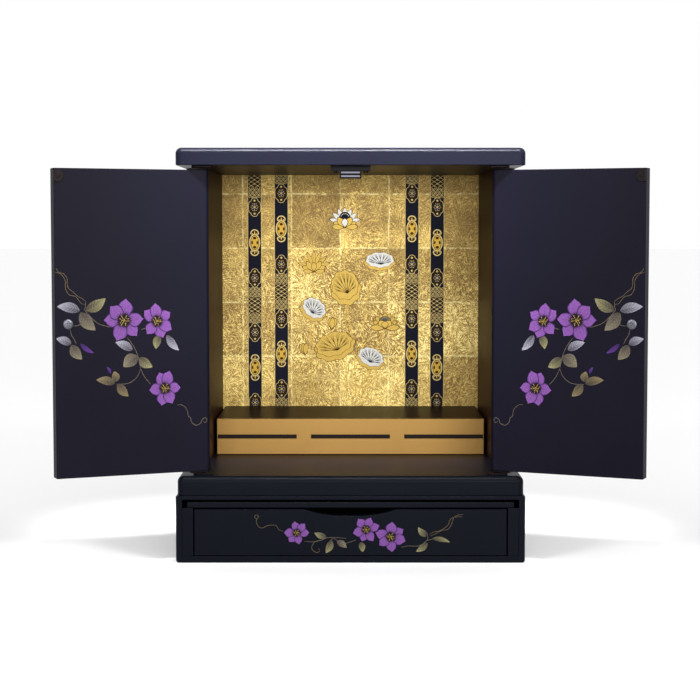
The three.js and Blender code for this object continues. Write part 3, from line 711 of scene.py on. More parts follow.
def flowing(knots, each):
    """A smooth path through knots: a cubic between each two, set by their neighbours."""
    knots = np.asarray(knots, float)
    before, after = 2 * knots[0] - knots[1], 2 * knots[-1] - knots[-2]
    p = np.concatenate((before[None], knots, after[None]))
    t = np.linspace(0, 1, each, endpoint=False)[None, :, None]
    p0, p1, p2, p3 = (p[k : len(p) - 3 + k][:, None] for k in range(4))
    curve = 2 * p1 + (p2 - p0) * t + (2 * p0 - 5 * p1 + 4 * p2 - p3) * t**2
    curve = (curve + (3 * p1 - p0 - 3 * p2 + p3) * t**3) / 2
    return np.concatenate((curve.reshape(-1, 2), knots[-1:]))


def step_up(values, low, high):
    """0 up to low, 1 from high, and a smooth cubic step from one to the other."""
    share = np.clip((values - low) / (high - low), 0, 1)
    return share * share * (3 - 2 * share)


def blend(first, second, share):
    """Two colours mixed by a share at every point."""
    return np.array(first) + (np.array(second) - np.array(first)) * share[..., None]


def petal(drawing, sprays, centre, reach, angle, width, height, phase):
    """A broad petal with a sharp tip, from a flower's centre outwards.

    The half width is the sine of pi times the share along it to the power 1.25, cut to a point at
    the tip, and the edge is waved by a small sine. The colour darkens at the edge, along three
    ribs and towards the foot.
    """
    s = np.linspace(0, 1, 26)[:, None]
    t = np.array([-1, -0.93, -0.8, -0.6, -0.42, -0.25, -0.1, 0, 0.1, 0.25, 0.42, 0.6, 0.8, 0.93, 1])
    half = width / 2 * np.sin(np.pi * s**1.25) ** 0.72 * (1 - 0.35 * step_up(s, 0.8, 1.0))
    half = half * (1 + 0.06 * np.sin(11 * s + phase + 2 * np.sign(t)) * np.abs(t))
    along = reach * (s - 0.05 * t**2 * s)
    turn = angle + 0.03 * np.sin(phase) * s
    a = centre[0] + along * np.cos(turn) - t * half * np.sin(turn)
    b = centre[1] + along * np.sin(turn) + t * half * np.cos(turn)
    ribs = np.exp(-((t / 0.1) ** 2)) + 0.7 * np.exp(-(((np.abs(t) - 0.42) / 0.1) ** 2))
    light = 1.08 - 0.36 * ribs * (0.35 + 0.65 * (1 - s)) - 0.12 * (1 - s)
    tone = blend(sprays.petal, sprays.petal_edge, step_up(np.abs(t) + 0 * s, 0.74, 0.96))
    tone = tone * light[..., None]
    shadow = step_up(0.5 - s + 0 * t, 0, 0.3) * 0.5
    drawing.patch(a, b, height, blend(tone, sprays.flower_heart, shadow), 0.0)


def flower(drawing, sprays, centre, reach, angles, layer):
    """Six petals, every second one above its neighbours, a dark heart and a tuft of stamens.

    The heart's rim is cut into spikes by a cosine. A stamen is a short stroke along a ray, bent a
    little, with a dot at its end. Sines set its angle and length, so that dark shows between.
    """
    for index, angle in enumerate(angles):
        over = layer + (0.1 if index % 2 else 0.05)
        length = reach * (0.98 + 0.05 * np.sin(2.3 * index + reach))
        width = reach * (0.7 + 0.05 * np.cos(1.7 * index + reach))
        petal(drawing, sprays, centre, length, np.radians(angle), width, over, index + reach)
    heart = layer + 0.13
    angle = np.linspace(0, 2 * np.pi, 145)
    rim = reach * (0.32 + 0.045 * np.cos(24 * angle) + 0.02 * np.cos(5 * angle + reach))
    rim = DISC_RINGS * rim
    a, b = centre[0] + rim * np.cos(angle), centre[1] + rim * np.sin(angle)
    drawing.patch(a, b, heart, sprays.flower_heart, 0.0)
    index = np.arange(17)
    rays = index * 2 * np.pi / 17 + 0.25 * np.sin(index * 4.1)
    ends = reach * (0.11 + 0.14 * np.abs(np.sin(index * 2.4 + reach)))
    for ray, end in zip(rays, ends):
        bent = ray + np.linspace(0, 0.4, 4) * np.sin(ray * 3)
        path = np.column_stack((np.cos(bent), np.sin(bent))) * np.linspace(end * 0.5, end, 4)[:, None]
        drawing.stroke(centre + path, reach * 0.012, heart + 0.02, sprays.stamen, 0.2)
        drawing.blot(centre + path[-1], (reach * 0.022,) * 2, heart + 0.04, sprays.stamen, 0.2, 7)
    for ray in np.arange(4) * 2 * np.pi / 4 + 0.4:
        spot = centre + np.array([np.cos(ray), np.sin(ray)]) * reach * 0.045
        drawing.blot(spot, (reach * 0.026,) * 2, heart + 0.05, sprays.stamen, 0.2, 7)


LEAF_TONES = {
    "silver": ((142, 140, 152), (50, 46, 56)),
    "olive": ((122, 118, 84), (46, 40, 38)),
    "taupe": ((110, 103, 84), (54, 47, 46)),
    "tan": ((112, 100, 72), (50, 43, 38)),
    "violet": ((76, 42, 112), (44, 24, 70)),
}


def leaf(drawing, base, tip, width, tone, layer):
    """A pointed leaf in two halves, its side veins lighter, with a pale rib and rim.

    The half width is the sine of pi times the share along it to the power 0.8. The rib runs from
    base to tip on a shallow arch. Veins are a cosine of the share along less that across.
    """
    base, tip = np.asarray(base, float), np.asarray(tip, float)
    along = tip - base
    side = np.array([-along[1], along[0]])
    s = np.linspace(0, 1, 34)[:, None]
    t = np.array([-1, -0.92, -0.78, -0.6, -0.4, -0.2, -0.06, 0, 0.06, 0.2, 0.4, 0.6, 0.78, 0.92, 1])
    half = width / 2 * np.sin(np.pi * s**0.8) ** 0.85
    rib = base + along * s + side * 0.06 * (4 * s * (1 - s))
    unit = side / np.linalg.norm(along)
    a = rib[:, :1] + unit[0] * half * t + along[0] * 0.05 * np.abs(t) * s * (1 - s)
    b = rib[:, 1:] + unit[1] * half * t + along[1] * 0.05 * np.abs(t) * s * (1 - s)
    light, dark = (np.array(linear(*colour)) for colour in LEAF_TONES[tone])
    veins = 0.5 + 0.5 * np.cos(2 * np.pi * (s * 7 - np.abs(t) * 1.3))
    share = 0.05 + 0.8 * s**1.5 + np.where(t > 0, 0.16, 0.0) + 0.25 * (veins - 0.5)
    edge = np.maximum(step_up(np.abs(t) + 0 * s, 0.84, 0.97), 0.6 * np.exp(-((t / 0.05) ** 2)) + 0 * s)
    colour = blend(blend(dark, light, np.clip(share, 0, 1)), light * 1.25, edge * 0.4 * (0.2 + 0.8 * s))
    drawing.patch(a, b, layer, colour, 0.1)


def vine(drawing, sprays, knots, width, layer, gold=False):
    """A stem or tendril: a ribbon on a smooth path, thinner at its ends."""
    path = flowing(knots, 12)
    share = np.linspace(0, 1, len(path))
    taper = width * (0.55 + 0.45 * np.sin(np.pi * share) ** 0.5) * (0.75 if gold else 1.0)
    drawing.stroke(path, taper, layer, sprays.tendril if gold else sprays.stem, 0.4, fine=True)


DOOR_FLOWERS = (
    ((84.2, 253.8), 22.0, (2, 47, 97, 177, 229, 289)),
    ((49.3, 252.3), 18.5, (40, 83, 146, 209, 250, 312)),
    ((41.4, 183.0), 18.5, (71, 105, 178, 242, 282, 356)),
)
DOOR_LEAVES = (
    ((129.9, 264.5), (153.1, 269.0), 10.2, "silver"),
    ((123.6, 264.6), (103.3, 276.5), 11.3, "olive"),
    ((129.7, 262.4), (114.0, 244.4), 12.5, "taupe"),
    ((139.1, 231.1), (154.4, 236.8), 8.3, "silver"),
    ((139.1, 229.9), (128.3, 215.3), 10.7, "taupe"),
    ((129.6, 231.2), (115.8, 221.3), 4.7, "violet"),
    ((47.1, 237.8), (50.7, 223.9), 8.6, "olive"),
    ((38.9, 237.6), (26.1, 221.7), 8.1, "silver"),
    ((75.4, 223.4), (93.3, 231.7), 8.8, "silver"),
    ((70.2, 217.0), (85.2, 206.4), 13.3, "taupe"),
    ((68.6, 215.0), (54.5, 205.2), 10.0, "olive"),
    ((94.3, 190.0), (113.6, 193.9), 8.6, "tan"),
    ((91.2, 189.3), (80.2, 176.1), 9.2, "tan"),
    ((93.0, 191.4), (95.0, 202.2), 8.4, "tan"),
    ((98.5, 200.0), (102.5, 206.9), 3.1, "violet"),
)
DOOR_VINES = (
    ((123.8, 273.2), (124.1, 268.2), (124.2, 264.1), (112.7, 252.3), (102.3, 248.1), (94.8, 246.8)),
    ((80.9, 236.2), (75.3, 228.8), (71.0, 220.3), (68.6, 211.7), (67.1, 203.8)),
    ((67.1, 203.8), (63.1, 195.8), (59.4, 190.8), (56.2, 187.6)),
    ((67.1, 203.8), (70.6, 196.1), (76.9, 190.8), (83.1, 189.0), (92.7, 188.9)),
    ((125.8, 256.0), (128.4, 251.4), (132.4, 249.6), (136.8, 249.2)),
    ((140.2, 246.1), (138.7, 240.0), (136.0, 235.8), (133.9, 231.3)),
    ((66.1, 244.3), (61, 245.5)),
    (
        (28.0, 165.0), (24.2, 165.3), (19.7, 162.5), (17.2, 158.1), (16.3, 153.1), (13.8, 151.2),
        (12.8, 146.8), (8.3, 143.3), (3.1, 145.1), (1.2, 148.8), (-2.1, 150.7), (-4.0, 147.9),
        (-2.0, 145.5), (0.3, 147.0),
    ),
)
DOOR_TENDRILS = (
    (
        (154.6, 303.4), (152.5, 303.0), (148.5, 301.1), (144.6, 295.2), (144.6, 289.6), (143.7, 285.1),
        (140.3, 280.6), (134.3, 278.8), (131.3, 275.5), (128.0, 271.6), (124.1, 270.8),
    ),
    (
        (153.8, 307.4), (151.7, 304.1), (149.1, 302.7), (145.8, 301.5), (142.7, 297.0), (142.5, 291.6),
        (141.1, 286.9), (136.7, 283.6), (132.3, 279.3), (127.7, 276.8), (123.5, 273.6),
    ),
)
DRAWER_FLOWERS = (
    ((-55.9, 31.7), 13.2, (0, 46, 100, 181, 232, 283)),
    ((16.2, 35.1), 14.4, (15, 68, 128, 199, 252, 300)),
    ((41.9, 27.5), 16.4, (32, 87, 166, 216, 273, 342)),
)
DRAWER_LEAVES = (
    ((-25, 27.1), (-37.5, 31.6), 6.2, "olive"),
    ((-19.6, 23.4), (-25.6, 10.4), 7.4, "olive"),
    ((-14.1, 22.8), (-4.0, 16), 6.6, "taupe"),
    ((10.6, 21.6), (12.7, 11.5), 6.6, "olive"),
    ((78.8, 27.7), (70.4, 37.3), 6.2, "olive"),
    ((85.1, 25.6), (103.4, 21.6), 5.0, "olive"),
    ((80, 20.9), (68.1, 11.9), 6.4, "olive"),
)
DRAWER_VINES = (
    ((-48.1, 22.8), (-37.6, 22.2), (-29.4, 24.2), (-23.5, 26.5), (-14.4, 26.5), (-4.5, 25.9)),
    ((-17.7, 25.9), (-11.1, 22.2), (-4.5, 20.8), (5.8, 24.2)),
    ((-17.7, 25.9), (-21.9, 22.2), (-24.4, 17.5)),
    ((52.4, 16.5), (60.2, 17.8), (70.1, 17.8), (76.7, 21.2), (80.4, 25.9), (78.7, 32.5), (75.0, 35.1)),
    ((79.2, 23.3), (85.0, 25.0), (88.3, 25.0)),
)
DRAWER_TENDRILS = (
    (
        (-31.0, 24.2), (-36.8, 22.2), (-40.1, 17.5), (-39.6, 13.8), (-35.2, 10.8), (-31.9, 12.8),
        (-33.5, 15.0),
    ),
    (
        (-96.4, 46.4), (-98.6, 46.8), (-99.7, 49.0), (-97.4, 50.2), (-95.4, 48.6), (-97.7, 45.3),
        (-97.6, 41.7), (-95.3, 37.9), (-91.5, 36.7), (-87.0, 38.9), (-82.3, 39.6), (-77.4, 39.2),
        (-74.1, 34.6), (-69.9, 33.2),
    ),
    (
        (82.2, 30.0), (86.7, 32.5), (92.4, 33.6), (99.1, 37.6), (102.0, 40.9), (103.4, 45.1),
        (108.1, 48.0), (116.4, 48.4),
    ),
    (
        (83.3, 28.3), (89.1, 30.9), (94.9, 34.0), (101.6, 35.5), (105.0, 40.9), (106.8, 46.2),
        (110.6, 49.8), (117.2, 50.9),
    ),
)
DOOR_SPRAY = (DOOR_FLOWERS, DOOR_LEAVES, DOOR_VINES, DOOR_TENDRILS)
DRAWER_SPRAY = (DRAWER_FLOWERS, DRAWER_LEAVES, DRAWER_VINES, DRAWER_TENDRILS)


def spray(sprays, parts, stem_share):
    """A flowering spray: tendrils and stems lowest, then the leaves, then the flowers."""
    flowers, leaves, vines, tendrils = parts
    stem_width = sprays.stem_width / MM * stem_share
    drawing = Drawing()
    for knots in tendrils:
        vine(drawing, sprays, knots, stem_width, 0.06, gold=True)
    for knots in vines:
        vine(drawing, sprays, knots, stem_width, 0.09)
    for index, (base, tip, width, tone) in enumerate(leaves):
        leaf(drawing, base, tip, width, tone, 0.13 + 0.02 * (index % 3))
    for index, (centre, reach, angles) in enumerate(flowers):
        flower(drawing, sprays, np.array(centre), reach, angles, 0.2 + 0.03 * index)
    return drawing


GILT = 0.85
BAND_HALF = 8.4
FIELD_HALF = 7.6
BANDS = ((-116.2, 330.3), (105.35, 330.3), (-83.9, 347.0), (74.65, 347.0))
BAND_PERIOD = 152.0


def medallion(drawing, panel, x, z):
    """An oval ring with a pierced gold fill, and a hooked dome on a short stem at either end."""
    pale, gold, dark = panel.pale_gold, panel.band_gold, panel.band_navy
    drawing.blot((x, z), (6.7, 10.6), 0.12, pale, GILT, 36)
    drawing.blot((x, z), (5.3, 9.2), 0.16, panel.band_brown, 0.0, 36)
    drawing.blot((x, z), (4.6, 8.5), 0.2, gold, GILT, 36)
    for way in (-1, 1):
        drawing.blot((x, z + way * 5.6), (2.1, 1.7), 0.24, panel.band_hole, 0.0, 14)
        drawing.blot((x + way * 3.1, z), (1.1, 2.3), 0.24, panel.band_hole, 0.0, 14)
        drawing.blot((x, z + way * 12.2), (4.6, 3.6), 0.1, dark, 0.0, 24)
        turn = np.linspace(-0.1, np.pi + 0.1, 24)
        dome = np.column_stack((4.6 * np.cos(turn), way * (11.2 + 4.3 * np.sin(turn))))
        drawing.stroke(dome + (x, z), 1.3, 0.14, pale, GILT)
        for side in (-1, 1):
            curl = np.linspace(-0.3, 1.2 * np.pi, 14)
            hook = np.column_stack(
                (side * (3.6 + 1.1 * np.cos(curl)), way * (11.0 - 1.0 * np.sin(curl)))
            )
            drawing.stroke(hook + (x, z), 0.8, 0.15, pale, GILT)
        stem = np.array([(x, z + way * 10.4), (x, z + way * 12.0), (x, z + way * 13.6)])
        drawing.stroke(stem, (1.7, 1.3, 0.9), 0.14, gold, GILT)


def cartouche(drawing, panel, x, z):
    """A dark field with rounded lobes at its ends, a pale outline and a rosette with dots.

    The outline's half width falls from the full band by a concave shoulder to a small lobe.
    """
    knots = np.array([(7.5, 0), (7.2, 3.4), (6.4, 6.0), (4.5, 7.3), (3.8, 8.7), (2.6, 10.5), (0, 11.3)])
    upper = flowing(knots, 5)
    right = np.concatenate((upper[::-1] * (1, -1), upper[1:]))
    share = np.array([[-1.0, -0.5, 0.0, 0.5, 1.0]])
    drawing.patch(x + right[:, :1] * share, z + right[:, 1:] + 0 * share, 0.12, panel.band_brown, 0.0)
    for side in (-1, 1):
        drawing.stroke(right * (side, 1) + (x, z), 0.55, 0.16, panel.pale_gold, GILT)
    for ray in range(6):
        aim = np.pi / 3 * ray + np.pi / 6
        place = (x + 2.7 * np.cos(aim), z + 3.2 * np.sin(aim))
        drawing.blot(place, (1.7, 0.45), 0.18, panel.band_silver, GILT, 14, aim)
    for ray in range(6):
        aim = np.pi / 3 * ray
        place = (x + 3.9 * np.cos(aim), z + 4.6 * np.sin(aim))
        drawing.blot(place, (0.6, 0.6), 0.18, panel.band_gold, GILT, 8)
    for way in (-1, 1):
        drawing.blot((x, z + way * 7.9), (1.2, 1.2), 0.18, panel.pale_gold, GILT, 10)
    drawing.blot((x, z), (1.1, 1.1), 0.22, panel.pale_gold, GILT, 10)


def brown_field(drawing, panel, x, low, high):
    """The dark ground of a stretch of the band."""
    sides = [[x - FIELD_HALF, x + FIELD_HALF]] * 2
    drawing.patch(sides, [[low] * 2, [high] * 2], 0.1, panel.band_brown, 0.0)


def scales(drawing, panel, x, low, high):
    """Rows of half circles like fish scales, every second row moved by half a scale."""
    brown_field(drawing, panel, x, low, high)
    turn = np.linspace(0, np.pi, 12)
    pitch = (high - low) / 4
    for row in range(4):
        for column in np.arange(-1.5, 2) if row % 2 else np.arange(-1, 2):
            middle = np.array([x + column * 5.07, low + row * pitch])
            for radius, width in ((2.4, 0.5), (1.1, 0.45)):
                arc = np.column_stack((np.cos(turn), 1.15 * np.sin(turn))) * radius
                arc = arc[np.abs(middle[0] + arc[:, 0] - x) < 7.4]
                drawing.stroke(middle + arc, width, 0.14, panel.pale_gold, GILT)


def diamonds(drawing, panel, x, low, high):
    """A lattice of slanting lines with a bright dot in each diamond."""
    brown_field(drawing, panel, x, low, high)
    pitch = (high - low) / 4
    for row in np.arange(-2, 5):
        foot = low + row * pitch
        for way in (-1, 1):
            share = np.linspace(0, 1, 18)
            rise = foot + share * 2 * pitch
            kept = (rise >= low - 0.01) & (rise <= high + 0.01)
            line = np.column_stack((x + way * (share - 0.5) * 15, rise))[kept]
            if len(line) > 2:
                drawing.stroke(line, 0.42, 0.14, panel.pale_gold, GILT)
    for row in range(4):
        for column in (-3.75, 3.75):
            spot = (x + column, low + (row + 0.5) * pitch)
            drawing.blot(spot, (0.7, 0.8), 0.17, panel.pale_gold, GILT, 8)
    for row in range(1, 4):
        drawing.blot((x, low + row * pitch), (1.0, 1.0), 0.17, panel.pale_gold, GILT, 8)


def band(drawing, panel, x, first, low, high):
    """A navy strip with edge lines; medallions, cartouches, scales and lattices repeat along it."""
    rise = np.linspace(low, high, 40)[:, None]
    sides = np.array([[-BAND_HALF, -BAND_HALF + 0.5, BAND_HALF - 0.5, BAND_HALF]])
    drawing.patch(x + sides + 0 * rise, rise + 0 * sides, 0.06, panel.band_navy, 0.05)
    for side in (-1, 1):
        line = np.column_stack((np.full(40, x + side * 8.15), rise[:, 0]))
        drawing.stroke(line, 0.5, 0.2, panel.pale_gold, GILT)
    for turn in (-2, -1, 0, 1):
        middle = first + turn * BAND_PERIOD
        places = (
            (medallion, middle, 16.2),
            (cartouche, middle + 42.9, 11.2),
            (cartouche, middle + BAND_PERIOD - 42.9, 11.2),
        )
        for maker, z, reach in places:
            if low < z + reach and z - reach < high:
                maker(drawing, panel, x, z)
        for maker, foot, head in (
            (scales, 54.1, 66.3),
            (diamonds, 66.3, 85.7),
            (scales, 85.7, 97.9),
        ):
            if low < middle + head and middle + foot < high:
                maker(drawing, panel, x, middle + foot, middle + head)


def fan_petals(drawing, foot, size, angles, height, fill, line, layer, gilt):
    """Petals fanned about a foot, the outer ones first, each with a darker outline under it.

    A petal's half width is the sine of pi times the share along it to the power 1.2.
    """
    s = np.linspace(0, 1, 16)[:, None]
    t = np.array([[-1.0, -0.6, -0.12, 0.0, 0.12, 0.6, 1.0]])
    order = sorted(angles, key=lambda angle: -abs(angle))
    for index, angle in enumerate(order):
        lean = np.radians(90 - angle)
        for grow, tint, over in ((1.0, line, 0.0), (0.84, fill, 0.015)):
            half = size * grow * np.sin(np.pi * s**1.2) ** 0.8
            along = height * (s * grow + (1 - grow) * 0.6)
            a = foot[0] + along * np.cos(lean) - t * half * np.sin(lean)
            b = foot[1] + along * np.sin(lean) + t * half * np.cos(lean)
            shade = 1 - 0.35 * np.exp(-((t / 0.1) ** 2)) * (1 - s)
            drawing.patch(a, b, layer + over + 0.03 * index, np.array(tint) * shade[..., None], gilt)


def lotus(drawing, panel, middle, width, height, fill, layer, heart=None):
    """A lotus seen from the side: a crown of pointed petals over a fan of broad gold ones.

    The crown's petals stand about a point near the middle, round a heart if one is given. The
    gold petals stand about the foot, two of them lying flat.
    """
    foot = np.array([middle[0], middle[1] - height * 0.42])
    crown = foot + (0, height * 0.2)
    line, gold = panel.picture_line, panel.picture_gold
    angles = (-75, -50, -25, 0, 25, 50, 75)
    fan_petals(drawing, crown, width * 0.09, angles, height * 0.72, fill, line, layer, 0.8)
    if heart:
        spot = crown + (0, height * 0.27)
        drawing.blot(spot, (width * 0.2, height * 0.22), layer + 0.22, heart, 0.0, 24)
        for angle in np.radians(np.arange(20, 180, 28)):
            aim = np.array([np.cos(angle) * width * 0.14, np.sin(angle) * height * 0.14])
            drawing.blot(spot + aim, (0.55, 0.55), layer + 0.24, fill, 0.8, 8)
    sides = (-64, 64, -34, 34)
    fan_petals(drawing, foot, width * 0.13, sides, height * 0.56, gold, line, layer + 0.27, GILT)
    fan_petals(drawing, foot, width * 0.1, (-84, 84), width * 0.5, gold, line, layer + 0.4, GILT)
    fan_petals(drawing, foot, width * 0.12, (0,), height * 0.42, fill, line, layer + 0.48, GILT)


def lotus_leaf(drawing, panel, middle, size, turn, layer, pale=False):
    """A lotus leaf seen aslant, like an open fan, with a scalloped rim and forked veins.

    The rim is an ellipse whose radius is waved by a cosine, over a gold lip that hangs lower. A
    vein is a line from a point low in the leaf towards the rim, and forks at half its length.
    """
    gold, line = panel.picture_gold, panel.picture_line
    fill, vein = (panel.picture_white, panel.picture_vein) if pale else (gold, line)
    angle = np.linspace(0, 2 * np.pi, 73)
    wave = 1 + 0.05 * np.cos(9 * angle + size[0])
    share = np.array([0.0, 0.5, 1.0])[:, None]

    def placed(a, b):
        """A point of the leaf turned and moved to its place."""
        turned = (a * np.cos(turn) - b * np.sin(turn), a * np.sin(turn) + b * np.cos(turn))
        return middle[0] + turned[0], middle[1] + turned[1]

    coats = ((1.16, 0.14, line), (1.12, 0.14, gold), (1.03, 0.0, line), (1.0, 0.0, fill))
    for over, (grow, drop, tint) in enumerate(coats):
        a = share * wave * np.cos(angle) * size[0] / 2 * grow
        b = share * wave * np.sin(angle) * size[1] / 2 * grow - drop * size[1]
        drawing.patch(*placed(a, b), layer + 0.02 * over, tint, 0.8)
    eye = np.array([0.04 * size[0], -0.3 * size[1]])
    for ray in np.radians((-12, 14, 40, 64, 90, 116, 142, 168, 192)):
        for fork, first in ((-0.12, 0.5), (0.0, 0.0), (0.12, 0.5)):
            rim = np.array([np.cos(ray + fork) * size[0], np.sin(ray + fork) * size[1]]) * 0.42
            root = eye + (np.array([np.cos(ray) * size[0], np.sin(ray) * size[1]]) * 0.42 - eye) * first
            path = root + (rim - root) * np.linspace(0, 1, 5)[:, None]
            a, b = placed(path[:, 0], path[:, 1])
            width = np.linspace(0.75 - 0.3 * first, 0.3, 5)
            drawing.stroke(np.column_stack((a, b)), width, layer + 0.08, vein, 0.5)


def lotus_pond(panel, low, high):
    """The panel's picture: lotus flowers, leaves and buds on long stems over rippled water."""
    drawing = Drawing(low, high)
    gold, pale, white = panel.picture_gold, panel.pale_gold, panel.picture_white
    line = panel.picture_line
    stems = (
        ((-6.8, 346), (-7.5, 300), (-5.6, 240), (-5.0, 142)),
        ((-44.4, 293), (-46.5, 250), (-49.5, 200), (-51.9, 142)),
        ((35.8, 300), (22, 272), (15.5, 220), (14.4, 142)),
        ((-6.7, 262), (1.5, 220), (5.5, 180), (6.6, 142)),
        ((42.1, 224), (30, 196), (22.5, 170), (20.6, 142)),
        ((-44, 238), (-46, 200), (-47.5, 170), (-48.6, 142)),
        ((-23, 224), (-36, 190), (-43.5, 165), (-45.7, 142)),
        ((25.1, 179), (18, 166), (12, 152), (9, 142)),
    )
    for knots in stems:
        drawing.stroke(flowing(knots, 12), 1.0, 0.07, gold, GILT, fine=True)
    ripples = (
        ((-60, 168), (-42, 170), (-21, 168)),
        ((-58, 165), (-40, 166.5), (-24, 165)),
        ((-55, 162), (-40, 163.5), (-28, 162)),
        ((-10.5, 148.2), (-3, 152), (5.4, 159.2)),
        ((-10.5, 145.8), (14, 139), (37, 132.5)),
        ((-21.4, 165.3), (-17, 148), (-10.5, 133)),
    )
    for knots in ripples:
        drawing.stroke(flowing(knots, 10), 0.6, 0.08, pale, GILT)
    lotus_leaf(drawing, panel, (-20, 207), (44, 28), 0.3, 0.12)
    lotus_leaf(drawing, panel, (-6.7, 278.9), (32, 35), 0.2, 0.12)
    lotus_leaf(drawing, panel, (35.8, 309.3), (33, 18), 0.0, 0.14, pale=True)
    lotus_leaf(drawing, panel, (-44, 250.8), (29, 22), -0.6, 0.14, pale=True)
    lotus_leaf(drawing, panel, (25.1, 191.1), (31, 21), -0.4, 0.14, pale=True)
    lotus(drawing, panel, (-44.4, 306.8), 27, 29, gold, 0.2)
    lotus(drawing, panel, (42.1, 235), 37, 22, gold, 0.2, heart=panel.picture_grey)
    lotus(drawing, panel, (-6.8, 360), 33, 28, white, 0.2, heart=panel.band_navy)
    for place, lean in (((-23, 232), 6), ((-55, 200.8), -10)):
        foot = (place[0], place[1] - 8)
        fan_petals(drawing, foot, 3.4, (lean - 14, lean + 14, lean), 16, gold, line, 0.2, GILT)
    return drawing


def screw_head(radius, height, arm, slot_width, depth):
    """A pan head: rings inwards over a shallow dome, less a cross with sloping sides.

    The dome falls with the third power of the distance from the middle. The cross is where the
    smaller of the two coordinates is under half the slot's width and the larger is under the arm.
    """
    rings = []
    for reach, rise in ((0.97, 0.0), (1.0, 0.12), (1.0, 0.34)):
        rings.append(at_height(circle(radius * reach, 96), height * rise))
    for share in np.linspace(0.985, 0.015, 30):
        flat = circle(radius * share, 96)
        dome = height * (0.45 + 0.55 * (1 - share**3) ** 0.6)
        near, far = np.abs(flat).min(1), np.abs(flat).max(1)
        slot = 1 - step_up(near, slot_width * 0.35, slot_width * 0.6)
        inside = slot * (1 - step_up(far, arm * 0.85, arm))
        rings.append(np.column_stack((flat, dome - depth * inside)))
    return lofted(rings)


def a_colour(name, description, *screen):
    """A colour property, its default in 0 to 255 as a screen shows it."""
    default = linear(*screen)
    return bpy.props.FloatVectorProperty(
        name=name, description=description, subtype="COLOR", min=0, max=1, default=default
    )


def a_share(name, description, default):
    """A property from 0 to 1."""
    return bpy.props.FloatProperty(
        name=name, description=description, subtype="FACTOR", min=0, max=1, default=default
    )


def a_length(name, description, default):
    """A length property, its default in metres."""
    return bpy.props.FloatProperty(
        name=name, description=description, unit="LENGTH", precision=5, default=default
    )


def a_power(name, description, default):
    """A light's power in watts."""
    return bpy.props.FloatProperty(name=name, description=description, unit="POWER", default=default)


class AltarFinishes(bpy.types.PropertyGroup):
    """Colours and gloss of the cabinet's materials."""

    lacquer: a_colour("Lacquer", "Colour of the case, the slabs and the carcass", 7, 9, 16)
    # painted light: the top board's colour is set lighter and bluer than the case's for the light that falls
    # on its front
    top_lacquer_painted_light: a_colour("Top lacquer", "Colour of the top board", 11, 12, 24)
    door_lacquer: a_colour("Door lacquer", "Colour of the doors", 9, 8, 19)
    # painted reflection: the brown inside the carcass and on the step stands in for the gold panel's
    # reflection
    inner_lacquer_painted_reflection: a_colour("Inner lacquer", "Colour inside the carcass and on the step", 38, 20, 15)
    lacquer_roughness: a_share("Lacquer roughness", "Roughness of the case's lacquer", 0.36)
    door_roughness: a_share("Door roughness", "Roughness of the doors' lacquer", 0.45)
    inner_roughness: a_share("Inner roughness", "Roughness of the lacquer inside the carcass", 0.38)
    lacquer_shine: a_share("Lacquer shine", "How strongly the lacquer mirrors the room", 0.04)
    door_shine: a_share("Door shine", "How strongly the doors and the top board mirror the room", 0.055)
    inner_shine: a_share("Inner shine", "How strongly the lacquer inside the carcass mirrors the gold", 0.02)
    peel_depth: a_length("Orange peel", "Depth of the lacquer's fine unevenness", 0.00002)
    stained_wood: a_colour("Stained wood", "Colour of the drawer's inner boards", 92, 70, 50)
    leaf_ground: a_colour("Leaf ground", "Colour where the gold leaf is worn", 116, 88, 44)
    leaf_gold: a_colour("Leaf gold", "Colour of the gold leaf", 226, 194, 110)
    leaf_bright: a_colour("Leaf highlight", "Colour of the leaf's brightest feathers", 255, 246, 178)
    leaf_width: a_length("Leaf width", "Width of a square of gold leaf", 0.0591)
    leaf_height: a_length("Leaf height", "Height of a square of gold leaf", 0.0656)
    leaf_seam_x: a_length("Leaf seam across", "Place of one upright seam between squares", 0.0467)
    leaf_seam_z: a_length("Leaf seam up", "Place of one level seam between squares", 0.3891)
    # painted shade: how much browner the leaf is made at the panel's head, under the top board
    leaf_top_painted_shade: a_share("Leaf fade", "How much browner the leaf is at the panel's head", 0.08)
    satin_gold: a_colour("Satin gold", "Colour of the step's front", 157, 122, 68)
    dash: a_colour("Dash", "Colour of the sunk dashes in the step's front", 24, 14, 10)
    dark_metal: a_colour("Dark metal", "Colour of hinge plates, pins and strikes", 27, 23, 24)
    bright_metal: a_colour("Bright metal", "Colour of the knob screws and pole plates", 92, 92, 100)
    plastic: a_colour("Plastic", "Colour of the catch's housing", 12, 12, 16)
    floor: bpy.props.FloatVectorProperty(
        name="Floor",
        description="Colour of the floor",
        subtype="COLOR",
        min=0,
        max=1,
        default=(0.97, 0.97, 0.97),
    )


class AltarEdges(bpy.types.PropertyGroup):
    """Sizes of the cabinet's edges and small forms."""

    board_ease: a_length("Board edge", "Round of a board's edges", 0.0006)
    case_edge: a_length("Case edge", "Round of the case's edges", 0.0008)
    case_foot: a_length("Case foot", "Round of the case's lower side edges", 0.003)
    slab_round: a_length("Slab round", "Round of the upper edge of the base slab and the top board", 0.006)
    slab_corner: a_length("Slab corner", "Round of the slabs' upright corners", 0.0068)
    hinge_round: a_length("Hinge edge", "Round of a door's edge at its pivots", 0.005)
    door_arris: a_length("Door arris", "Round of a door's other edges", 0.0008)
    paint_relief: bpy.props.FloatProperty(
        name="Paint relief",
        description="How thickly the sprays, bands and picture are painted, 1 being as built",
        min=0.2,
        max=3,
        default=1.0,
    )


